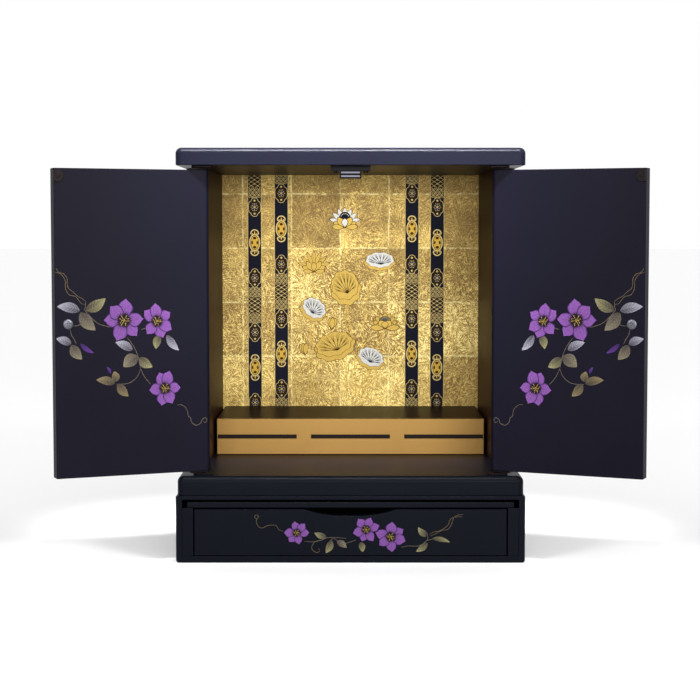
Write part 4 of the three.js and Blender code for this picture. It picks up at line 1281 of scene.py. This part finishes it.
class AltarSprays(bpy.types.PropertyGroup):
    """Colours and lines of the flowering sprays."""

    petal: a_colour("Petal", "Colour of the petals", 104, 64, 126)
    petal_edge: a_colour("Petal edge", "Colour of the petals' edges", 40, 18, 62)
    flower_heart: a_colour("Flower heart", "Colour of a flower's dark middle", 20, 10, 24)
    stamen: a_colour("Stamen", "Colour of the stamens", 150, 126, 50)
    stem: a_colour("Stem", "Colour of the stems", 86, 76, 64)
    tendril: a_colour("Tendril", "Colour of the tendrils", 98, 84, 60)
    stem_width: a_length("Stem width", "Width of a stem", 0.0006)


class AltarPanel(bpy.types.PropertyGroup):
    """Colours of the bands and the picture on the gold leaf."""

    band_navy: a_colour("Band ground", "Colour of the bands", 22, 25, 46)
    band_brown: a_colour("Band field", "Colour of the darker fields in the bands", 44, 32, 24)
    band_hole: a_colour("Band hole", "Colour of the holes in the medallions", 66, 50, 18)
    band_silver: a_colour("Band silver", "Colour of the rosettes", 150, 142, 134)
    band_gold: a_colour("Band gold", "Colour of the bands' gold lines", 200, 160, 64)
    pale_gold: a_colour("Pale gold", "Colour of the palest lines", 204, 180, 118)
    picture_gold: a_colour("Picture gold", "Colour of the gold flowers, leaves and stems", 200, 168, 84)
    picture_white: a_colour("Picture white", "Colour of the white flower and the pale leaves", 206, 205, 198)
    picture_grey: a_colour("Picture grey", "Colour of a gold flower's grey heart", 120, 116, 112)
    picture_vein: a_colour("Picture vein", "Colour of the pale leaves' veins", 52, 50, 76)
    picture_line: a_colour("Picture line", "Colour of the outlines and veins", 84, 56, 22)


class AltarStage(bpy.types.PropertyGroup):
    """The studio: lights, room light and camera."""

    room_light: bpy.props.FloatProperty(
        name="Room light",
        description="Strength of the even light all round",
        min=0,
        default=1.0,
    )
    front_power: a_power("Front light", "Power of the light in front, which reaches the gold panel", 11.5)
    right_power: a_power(
        "Right light", "Power of the light on the right, whose sheen lies on the left door", 2.0
    )
    left_power: a_power(
        "Left light", "Power of the light on the left, whose sheen lies on the right door", 1.3
    )
    top_power: a_power("Top light", "Power of the narrow light over the top board's front edge", 2.0)
    lens: bpy.props.FloatProperty(
        name="Lens",
        description="The camera's focal length",
        unit="CAMERA",
        default=89.25,
    )
    camera_place: bpy.props.FloatVectorProperty(
        name="Camera place",
        description="Where the camera stands",
        subtype="TRANSLATION",
        default=(-0.00051, -1.95284, 0.34525),
    )
    camera_fall: bpy.props.FloatProperty(
        name="Camera fall",
        description="How far the camera looks down",
        subtype="ANGLE",
        default=0.06887,
    )


def front_face(node):
    """A node's front face: x across, z up, outwards to the front."""
    return Carrier((0, span_of(node)[0][1], 0), X, Z, -Y)


def door_face(hand, reach=0.0, height=0.0, side=1):
    """A door's inner face, or its outer one with side -1, at a reach from the pivot's axis.

    The first direction runs to the free end, the second upwards and the third off the face.
    """
    pivot, along, inward = door_directions(hand)
    origin = pivot + along * reach + inward * (DOOR_HALF * side) + Z * height
    return Carrier(origin, along, Z, inward * side)


def middle_height(node):
    """The height of a node's middle."""
    low, high = span_of(node)
    return (low[2] + high[2]) / 2


class ALTAR_OT_case(bpy.types.Operator):
    """Builds the case as one hollow shell, open in front.

    Rings of the case's rectangle run from the back forwards over the outside, round the rim and
    back along the inside.
    """

    bl_idname = "altar.case"
    bl_label = "Case"

    def execute(self, context):
        """Makes the rings from the CAD boards' own sizes and closes them."""
        edges = context.scene.altar_edges
        low, (side, front, head) = span_of("case_side_right")
        inner_foot = (-low[0], span_of("case_bottom")[1][2])
        inner_head = (low[0], span_of("case_top")[0][2])
        ease, foot = edges.case_edge / MM, edges.case_foot / MM
        corner = ease + CORNER_SPARE
        outer = rounded((-side, 0), (side, head), [foot, foot, corner, corner])
        inner = rounded(inner_foot, inner_head, [corner] * 4)
        lip = [(-inset, front - fall) for inset, fall in quarter(ease * 0.6)]
        rings = levels(outer, eased(-front, front, ease, ease)) + levels(inner, lip)
        rings.append(at_height(inner, -span_of("case_back")[0][1]))
        nodes = ["case_side_left", "case_side_right", "case_top", "case_bottom", "case_back"]
        show("case_shell", lofted(rings), FRONTWARD, "cabinet", *LACQUERED, nodes)
        return {"FINISHED"}


class ALTAR_OT_shelf(bpy.types.Operator):
    """Builds the drawer's guides and the pull-out board that lies on them."""

    bl_idname = "altar.shelf"
    bl_label = "Guides and pull-out board"

    def execute(self, context):
        """Makes the two guides and the board, each in its node's box."""
        ease = context.scene.altar_edges.board_ease / MM
        for hand, grow in (("left", "-x-z"), ("right", "-z+x")):
            board(f"drawer_guide_{hand}", "cabinet", *LACQUERED, ease, grow)
        board("pull_out_board", "pull_out", *LACQUERED, ease + 0.3)
        return {"FINISHED"}


class ALTAR_OT_drawer(bpy.types.Operator):
    """Builds the drawer: its notched front, and the boards behind it.

    The front's outline has a finger notch whose depth is the notch's full depth times one less
    the share of the half width to the power 2.6. The outline is carried forwards, drawn in at
    both faces.
    """

    bl_idname = "altar.drawer"
    bl_label = "Drawer"

    def execute(self, context):
        """Makes the front, then the four stained boards."""
        ease = context.scene.altar_edges.board_ease / MM
        low, high = span_of("drawer_front")
        plain = rounded(low[[0, 2]], high[[0, 2]], [ease + CORNER_SPARE] * 4)
        share = np.linspace(1, -1, 61)
        fall = NOTCH_DEPTH * (1 - np.abs(share) ** 2.6)
        notch = np.column_stack((NOTCH_HALF * share, high[2] - fall))
        outline = np.concatenate((plain[:18], notch, plain[18:]))
        shape = stacked(outline, eased(-high[1], -low[1], ease, ease))
        show("drawer_front_board", shape, FRONTWARD, "drawer", *LACQUERED, ["drawer_front"])
        grows = {"side_left": "-y", "side_right": "-y", "back": "-x+x", "floor": "-x-y+x+y"}
        for part, grow in grows.items():
            board(f"drawer_{part}", "drawer", "stained_wood", "stained_wood", ease, grow)
        return {"FINISHED"}


class ALTAR_OT_slabs(bpy.types.Operator):
    """Builds the base slab and the top board, each with a large round on its upper edge."""

    bl_idname = "altar.slabs"
    bl_label = "Base slab and top board"

    def execute(self, context):
        """Carries each slab's rounded outline upwards."""
        edges = context.scene.altar_edges
        sizes = (edges.slab_corner, edges.door_arris, edges.slab_round)
        corner, arris, top = (size / MM for size in sizes)
        # the top board takes the lacquer painted lighter for the light on its front
        slabs = (("base_slab", GLUE_LINE, "outer_lacquer"), ("top_board", 0.0, "top_lacquer_painted_light"))
        for node, below, finish in slabs:
            low, high = span_of(node)
            outline = rounded(low[:2], high[:2], [corner] * 4, 10)
            shape = stacked(outline, eased(low[2] - below, high[2], arris, top, 10))
            show(f"{node}_finished", shape, UPRIGHT, "cabinet", finish, "black_lacquer", [node])
        return {"FINISHED"}


class ALTAR_OT_carcass(bpy.types.Operator):
    """Builds the side panels and the back board."""

    bl_idname = "altar.carcass"
    bl_label = "Carcass"

    def execute(self, context):
        """Makes each board in its node's box, its glue lines closed."""
        ease = context.scene.altar_edges.board_ease / MM
        for hand in HANDS:
            # the side panels' inner faces carry the brown painted as the gold panel's reflection
            board(f"side_panel_{hand}", "cabinet", "inner_lacquer_painted_reflection", "black_lacquer", ease, "-z+z")
        board("back_board", "cabinet", *LACQUERED, 0.2, "-x-z+x+z")
        return {"FINISHED"}


class ALTAR_OT_gold_panel(bpy.types.Operator):
    """Builds the gold leaf panel at the back of the carcass."""

    bl_idname = "altar.gold_panel"
    bl_label = "Gold leaf panel"

    def execute(self, context):
        """Makes the panel in its node's box."""
        board(PANEL, "cabinet", "gold_leaf", "gold_leaf", 0.15, "-x-z+x+y+z")
        return {"FINISHED"}


class ALTAR_OT_bands(bpy.types.Operator):
    """Paints the four patterned bands on the gold panel."""

    bl_idname = "altar.bands"
    bl_label = "Bands"

    def execute(self, context):
        """Draws the bands and lays them on the panel."""
        low, high = (corner[2] for corner in span_of(PANEL))
        drawing = Drawing(low, high)
        for x, first in BANDS:
            band(drawing, context.scene.altar_panel, x, first, low, high)
        drawing.show("panel_bands", front_face(PANEL), "cabinet", "gold_leaf")
        return {"FINISHED"}


class ALTAR_OT_picture(bpy.types.Operator):
    """Paints the lotus pond on the gold panel."""

    bl_idname = "altar.picture"
    bl_label = "Lotus picture"

    def execute(self, context):
        """Draws the picture and lays it on the panel."""
        low, high = (corner[2] for corner in span_of(PANEL))
        drawing = lotus_pond(context.scene.altar_panel, low, high)
        drawing.show("panel_picture", front_face(PANEL), "cabinet", "gold_leaf")
        return {"FINISHED"}


class ALTAR_OT_step(bpy.types.Operator):
    """Builds the step: its gold front with three sunk dashes, its top and its sides.

    The front is a grid over x and z. Its depth is the dashes' depth times a step up and down
    across each dash, plus a quarter round along the outer edges.
    """

    bl_idname = "altar.step"
    bl_label = "Step"

    def execute(self, context):
        """Makes the grid of the front, then the three brown boards."""
        low, high = span_of("step_front")
        ease = context.scene.altar_edges.board_ease / MM
        length = (high[0] - low[0] - 2 - 2 * DASH_GAP) / 3
        starts = low[0] + 1 + np.arange(3) * (length + DASH_GAP)
        ends = starts + length
        middle = (low[2] + high[2]) / 2
        foot, head = middle - DASH_HALF, middle + DASH_HALF

        def lines(first, last, stops):
            """Grid lines close together at the outer edges and at the dashes' sides."""
            turn = ease * (1 - np.cos(np.linspace(0, np.pi / 2, 5)))
            walls = [stop + by for stop in stops for by in (-0.12, -0.06, 0.06, 0.12)]
            return np.unique(np.concatenate((first + turn, last - turn, walls)).round(4))

        def rim(place, first, last):
            """How far the face falls back near an outer edge."""
            near = np.clip(1 - np.minimum(place - first, last - place) / ease, 0, 1)
            return ease * (1 - np.sqrt(1 - near**2))

        def wall(place, stop):
            """0 before a dash's side and 1 after it."""
            return step_up(place, stop - 0.1, stop + 0.1)

        x = lines(low[0], high[0], (*starts, *ends))
        z = lines(low[2], high[2], (foot, head))
        along = sum(wall(x, start) for start in starts) - sum(wall(x, end) for end in ends)
        sunk = along[:, None] * (wall(z, foot) - wall(z, head))[None, :]
        back = np.maximum(rim(x, low[0], high[0])[:, None], rim(z, low[2], high[2])[None, :])
        grid_x, grid_z = np.meshgrid(x, z, indexing="ij")
        shape = backed(np.stack((grid_x, grid_z, -sunk - back), -1), high[1] - low[1])
        inlay = np.zeros(len(shape[0]))
        inlay[: sunk.size] = sunk.ravel()
        looks, nodes = ("satin_gold", "satin_gold"), ["step_front"]
        fields = {"sunk": ("FLOAT", "value", inlay)}
        show("step_front_board", shape, front_face("step_front"), "cabinet", *looks, nodes, fields)
        for part, grow in (("top", "-y"), ("side_left", "-y+z"), ("side_right", "-y+z")):
            # the step's top and sides carry the brown painted as the gold panel's reflection
            board(f"step_{part}", "cabinet", "inner_lacquer_painted_reflection", "brown_lacquer", 0.3, grow)
        return {"FINISHED"}


class ALTAR_OT_doors(bpy.types.Operator):
    """Builds the two doors: the plan's outline, well rounded at the pivots, carried upwards."""

    bl_idname = "altar.doors"
    bl_label = "Doors"

    def execute(self, context):
        """Makes each door on its own pivot's directions."""
        edges = context.scene.altar_edges
        arris, hinge = edges.door_arris / MM, edges.hinge_round / MM
        radii = [hinge, arris + CORNER_SPARE, arris + CORNER_SPARE, hinge]
        outline = rounded((-DOOR_HEEL, -DOOR_HALF), (DOOR_REACH, DOOR_HALF), radii, 8)
        looks = ("door_lacquer", "black_lacquer")
        for hand in HANDS:
            node = f"door_{hand}"
            low, high = span_of(node)
            pivot, along, inward = door_directions(hand)
            shape = stacked(outline, eased(low[2], high[2], arris, arris))
            carrier = Carrier(pivot, along, inward, Z)
            show(f"{node}_board", shape, carrier, f"{hand}_door", *looks, [node])
        return {"FINISHED"}


class ALTAR_OT_hardware(bpy.types.Operator):
    """Eases and finishes the hinge plates, the pivots and the catch as they come from the frame."""

    bl_idname = "altar.hardware"
    bl_label = "Hinges and catch"

    def execute(self, context):
        """Joins and eases each fitting and gives it its metal or plastic."""
        finishes = dict.fromkeys(("hinge_plate", "door_pivot", "catch_screw", "catch_magnet"), "dark_metal")
        finishes |= {"catch_plate": "bright_metal", "catch_housing": "black_plastic"}
        for node, piece in frame["nodes"].items():
            name = next((kind for kind in finishes if node.startswith(kind)), None)
            if name is None:
                continue
            piece.data.materials.clear()
            piece.data.materials.append(finish_of(finishes[name]))
            piece.modifiers.new("joined", "WELD").merge_threshold = 1e-6
            bevel = piece.modifiers.new("eased", "BEVEL")
            bevel.width = 0.0003 if name in ("catch_housing", "hinge_plate") else 0.00018
            bevel.segments = 2
            bevel.limit_method = "ANGLE"
            bevel.angle_limit = np.radians(40)
            bevel.use_clamp_overlap = True
        return {"FINISHED"}


class ALTAR_OT_knobs(bpy.types.Operator):
    """Builds the knobs, turned from a profile, and the heads of their screws.

    A knob is a straight neck that swells into a rounded head: the head's radius is the neck's
    plus the rest times the cosine of a half turn, at a height that follows its sine.
    """

    bl_idname = "altar.knobs"
    bl_label = "Knobs and their screws"

    def execute(self, context):
        """Makes a knob outside and a screw head inside for each door."""
        turn = np.linspace(-np.pi / 2, np.pi / 2, 25)
        head = zip(3.6 + 3.4 * np.cos(turn), 9.5 + 5.5 * np.sin(turn))
        profile = [(4.4, 0.0), (4.0, 0.25), (3.7, 0.8), (3.6, 3.7), *head, (2.4, 15.08), (0.3, 15.1)]
        knob = lofted([at_height(circle(radius, 48), height) for radius, height in profile])
        screw = screw_head(5.2, 1.9, 3.0, 1.5, 1.0)
        for hand in HANDS:
            body, node = f"{hand}_door", f"knob_screw_{hand}"
            place = (hand, KNOB_REACH, middle_height(f"door_{hand}"))
            outside, inside = door_face(*place, -1), door_face(*place)
            show(f"knob_{hand}_turned", knob, outside, body, *LACQUERED, [f"knob_{hand}"])
            show(f"{node}_head", screw, inside, body, *BRIGHT, [node], flats=False)
        return {"FINISHED"}


class ALTAR_OT_strikes(bpy.types.Operator):
    """Builds the strike plates, discs with a straight side by the free edge, and their screws."""

    bl_idname = "altar.strikes"
    bl_label = "Strike plates"

    def execute(self, context):
        """Makes a disc and its screw for each door."""
        half = np.arccos(STRIKE_FLAT / STRIKE_RADIUS)
        arc = np.linspace(half, 2 * np.pi - half, 49)
        outline = np.column_stack((np.cos(arc), np.sin(arc))) * STRIKE_RADIUS
        disc = stacked(outline, eased(0.0, 1.5, 0.1, 0.45))
        points, faces = screw_head(2.6, 0.5, 1.7, 0.8, 0.4)
        screw = (points + (0, 0, 1.25), faces)
        for hand in HANDS:
            plate, node, body = f"strike_plate_{hand}", f"strike_screw_{hand}", f"{hand}_door"
            face = door_face(hand, STRIKE_REACH, middle_height(plate))
            show(f"{plate}_disc", disc, face, body, *DARK, [plate])
            show(f"{node}_head", screw, face, body, *DARK, [node], flats=False)
        return {"FINISHED"}


class ALTAR_OT_door_sprays(bpy.types.Operator):
    """Paints a spray on the inner face of each door, one the mirror of the other."""

    bl_idname = "altar.door_sprays"
    bl_label = "Door sprays"

    def execute(self, context):
        """Draws the spray and lays it on the inner face of each door."""
        drawing = spray(context.scene.altar_sprays, DOOR_SPRAY, 1.0)
        for hand in HANDS:
            drawing.show(f"door_{hand}_spray", door_face(hand), f"{hand}_door", "black_lacquer")
        return {"FINISHED"}


class ALTAR_OT_drawer_spray(bpy.types.Operator):
    """Paints the spray on the drawer's front."""

    bl_idname = "altar.drawer_spray"
    bl_label = "Drawer spray"

    def execute(self, context):
        """Draws the spray and lays it on the drawer's front."""
        drawing = spray(context.scene.altar_sprays, DRAWER_SPRAY, 0.85)
        drawing.show("drawer_spray", front_face("drawer_front"), "drawer", "black_lacquer")
        return {"FINISHED"}


class ALTAR_OT_stage(bpy.types.Operator):
    """Sets up the pale floor, the soft lights and the camera."""

    bl_idname = "altar.stage"
    bl_label = "Stage"

    def execute(self, context):
        """Makes the floor, the world, four area lights and the camera."""
        scene, stage = context.scene, context.scene.altar_stage
        scene.view_settings.view_transform = "Standard"
        mesh = bpy.data.meshes.new("floor")
        reach = np.linspace(-30, 30, 3)
        across, deep = np.meshgrid(reach, reach)
        points = np.stack((across.ravel(), deep.ravel(), np.zeros(9)), -1)
        quads = [(0, 1, 4, 3), (1, 2, 5, 4), (3, 4, 7, 6), (4, 5, 8, 7)]
        mesh.from_pydata(points.tolist(), [], quads)
        mesh.materials.append(finish_of("floor_paint"))
        floor = bpy.data.objects.new("floor", mesh)
        scene.collection.objects.link(floor)
        world = bpy.data.worlds.new("studio")
        world.use_nodes = True
        background = world.node_tree.nodes["Background"]
        background.inputs["Color"].default_value = (1, 1, 1, 1)
        background.inputs["Strength"].default_value = stage.room_light
        scene.world = world
        lights = (
            ("front_light", (0.3, -2.3, 0.5), (0.03, 0, 0.25), (1.4, 0.3), 120, stage.front_power),
            ("right_light", (1.25, -1.6, 1.1), (-0.22, -0.2, 0.36), (0.6, 0.4), 36, stage.right_power),
            ("left_light", (-1.25, -1.6, 1.1), (0.22, -0.2, 0.36), (0.6, 0.4), 36, stage.left_power),
            ("top_light", (0.0, -0.52, 1.2), (0.0, -0.16, 0.45), (0.42, 0.1), 18, stage.top_power),
        )
        for name, place, target, size, spread, power in lights:
            light = bpy.data.lights.new(name, "AREA")
            light.shape = "RECTANGLE"
            light.size, light.size_y = size
            light.spread = np.radians(spread)
            light.energy = power
            lamp = bpy.data.objects.new(name, light)
            lamp.location = place
            aim = Vector(target) - lamp.location
            lamp.rotation_euler = aim.to_track_quat("-Z", "Y").to_euler()
            scene.collection.objects.link(lamp)
        camera = bpy.data.cameras.new("camera")
        camera.lens = stage.lens
        camera.sensor_width = 36
        holder = bpy.data.objects.new("camera", camera)
        holder.location = stage.camera_place
        holder.rotation_euler = (np.pi / 2 - stage.camera_fall, 0, 0)
        scene.collection.objects.link(holder)
        scene.camera = holder
        return {"FINISHED"}


OPERATORS = (
    ALTAR_OT_case, ALTAR_OT_shelf, ALTAR_OT_drawer, ALTAR_OT_slabs, ALTAR_OT_carcass,
    ALTAR_OT_gold_panel, ALTAR_OT_bands, ALTAR_OT_picture, ALTAR_OT_step, ALTAR_OT_doors,
    ALTAR_OT_hardware, ALTAR_OT_knobs, ALTAR_OT_strikes, ALTAR_OT_door_sprays,
    ALTAR_OT_drawer_spray, ALTAR_OT_stage,
)
GROUPS = {
    "altar_finishes": AltarFinishes,
    "altar_edges": AltarEdges,
    "altar_sprays": AltarSprays,
    "altar_panel": AltarPanel,
    "altar_stage": AltarStage,
}


class ALTAR_PT_cabinet(bpy.types.Panel):
    """Lists the cabinet's sizes, colours and operators in the sidebar."""

    bl_idname = "ALTAR_PT_cabinet"
    bl_label = "Altar cabinet"
    bl_space_type = "VIEW_3D"
    bl_region_type = "UI"
    bl_category = "Altar cabinet"

    def draw(self, context):
        """One box of properties for each group, then one button for each operator."""
        for key, group in GROUPS.items():
            box = self.layout.box()
            box.label(text=group.__doc__)
            for name in group.__annotations__:
                box.prop(getattr(context.scene, key), name)
        for operator in OPERATORS:
            self.layout.operator(operator.bl_idname)


def register():
    """Registers the classes and hangs the property groups on the scene."""
    for made in (*GROUPS.values(), *OPERATORS, ALTAR_PT_cabinet):
        bpy.utils.register_class(made)
    for key, group in GROUPS.items():
        setattr(bpy.types.Scene, key, bpy.props.PointerProperty(type=group))


def unregister():
    """Takes the property groups off the scene and unregisters the classes."""
    for key in GROUPS:
        delattr(bpy.types.Scene, key)
    for made in (ALTAR_PT_cabinet, *reversed(OPERATORS), *reversed(GROUPS.values())):
        bpy.utils.unregister_class(made)


def main():
    """Registers the add-on and builds every piece in order."""
    register()
    for operator in OPERATORS:
        group, name = operator.bl_idname.split(".")
        getattr(getattr(bpy.ops, group), name)()


if __name__ == "__main__":
    main()
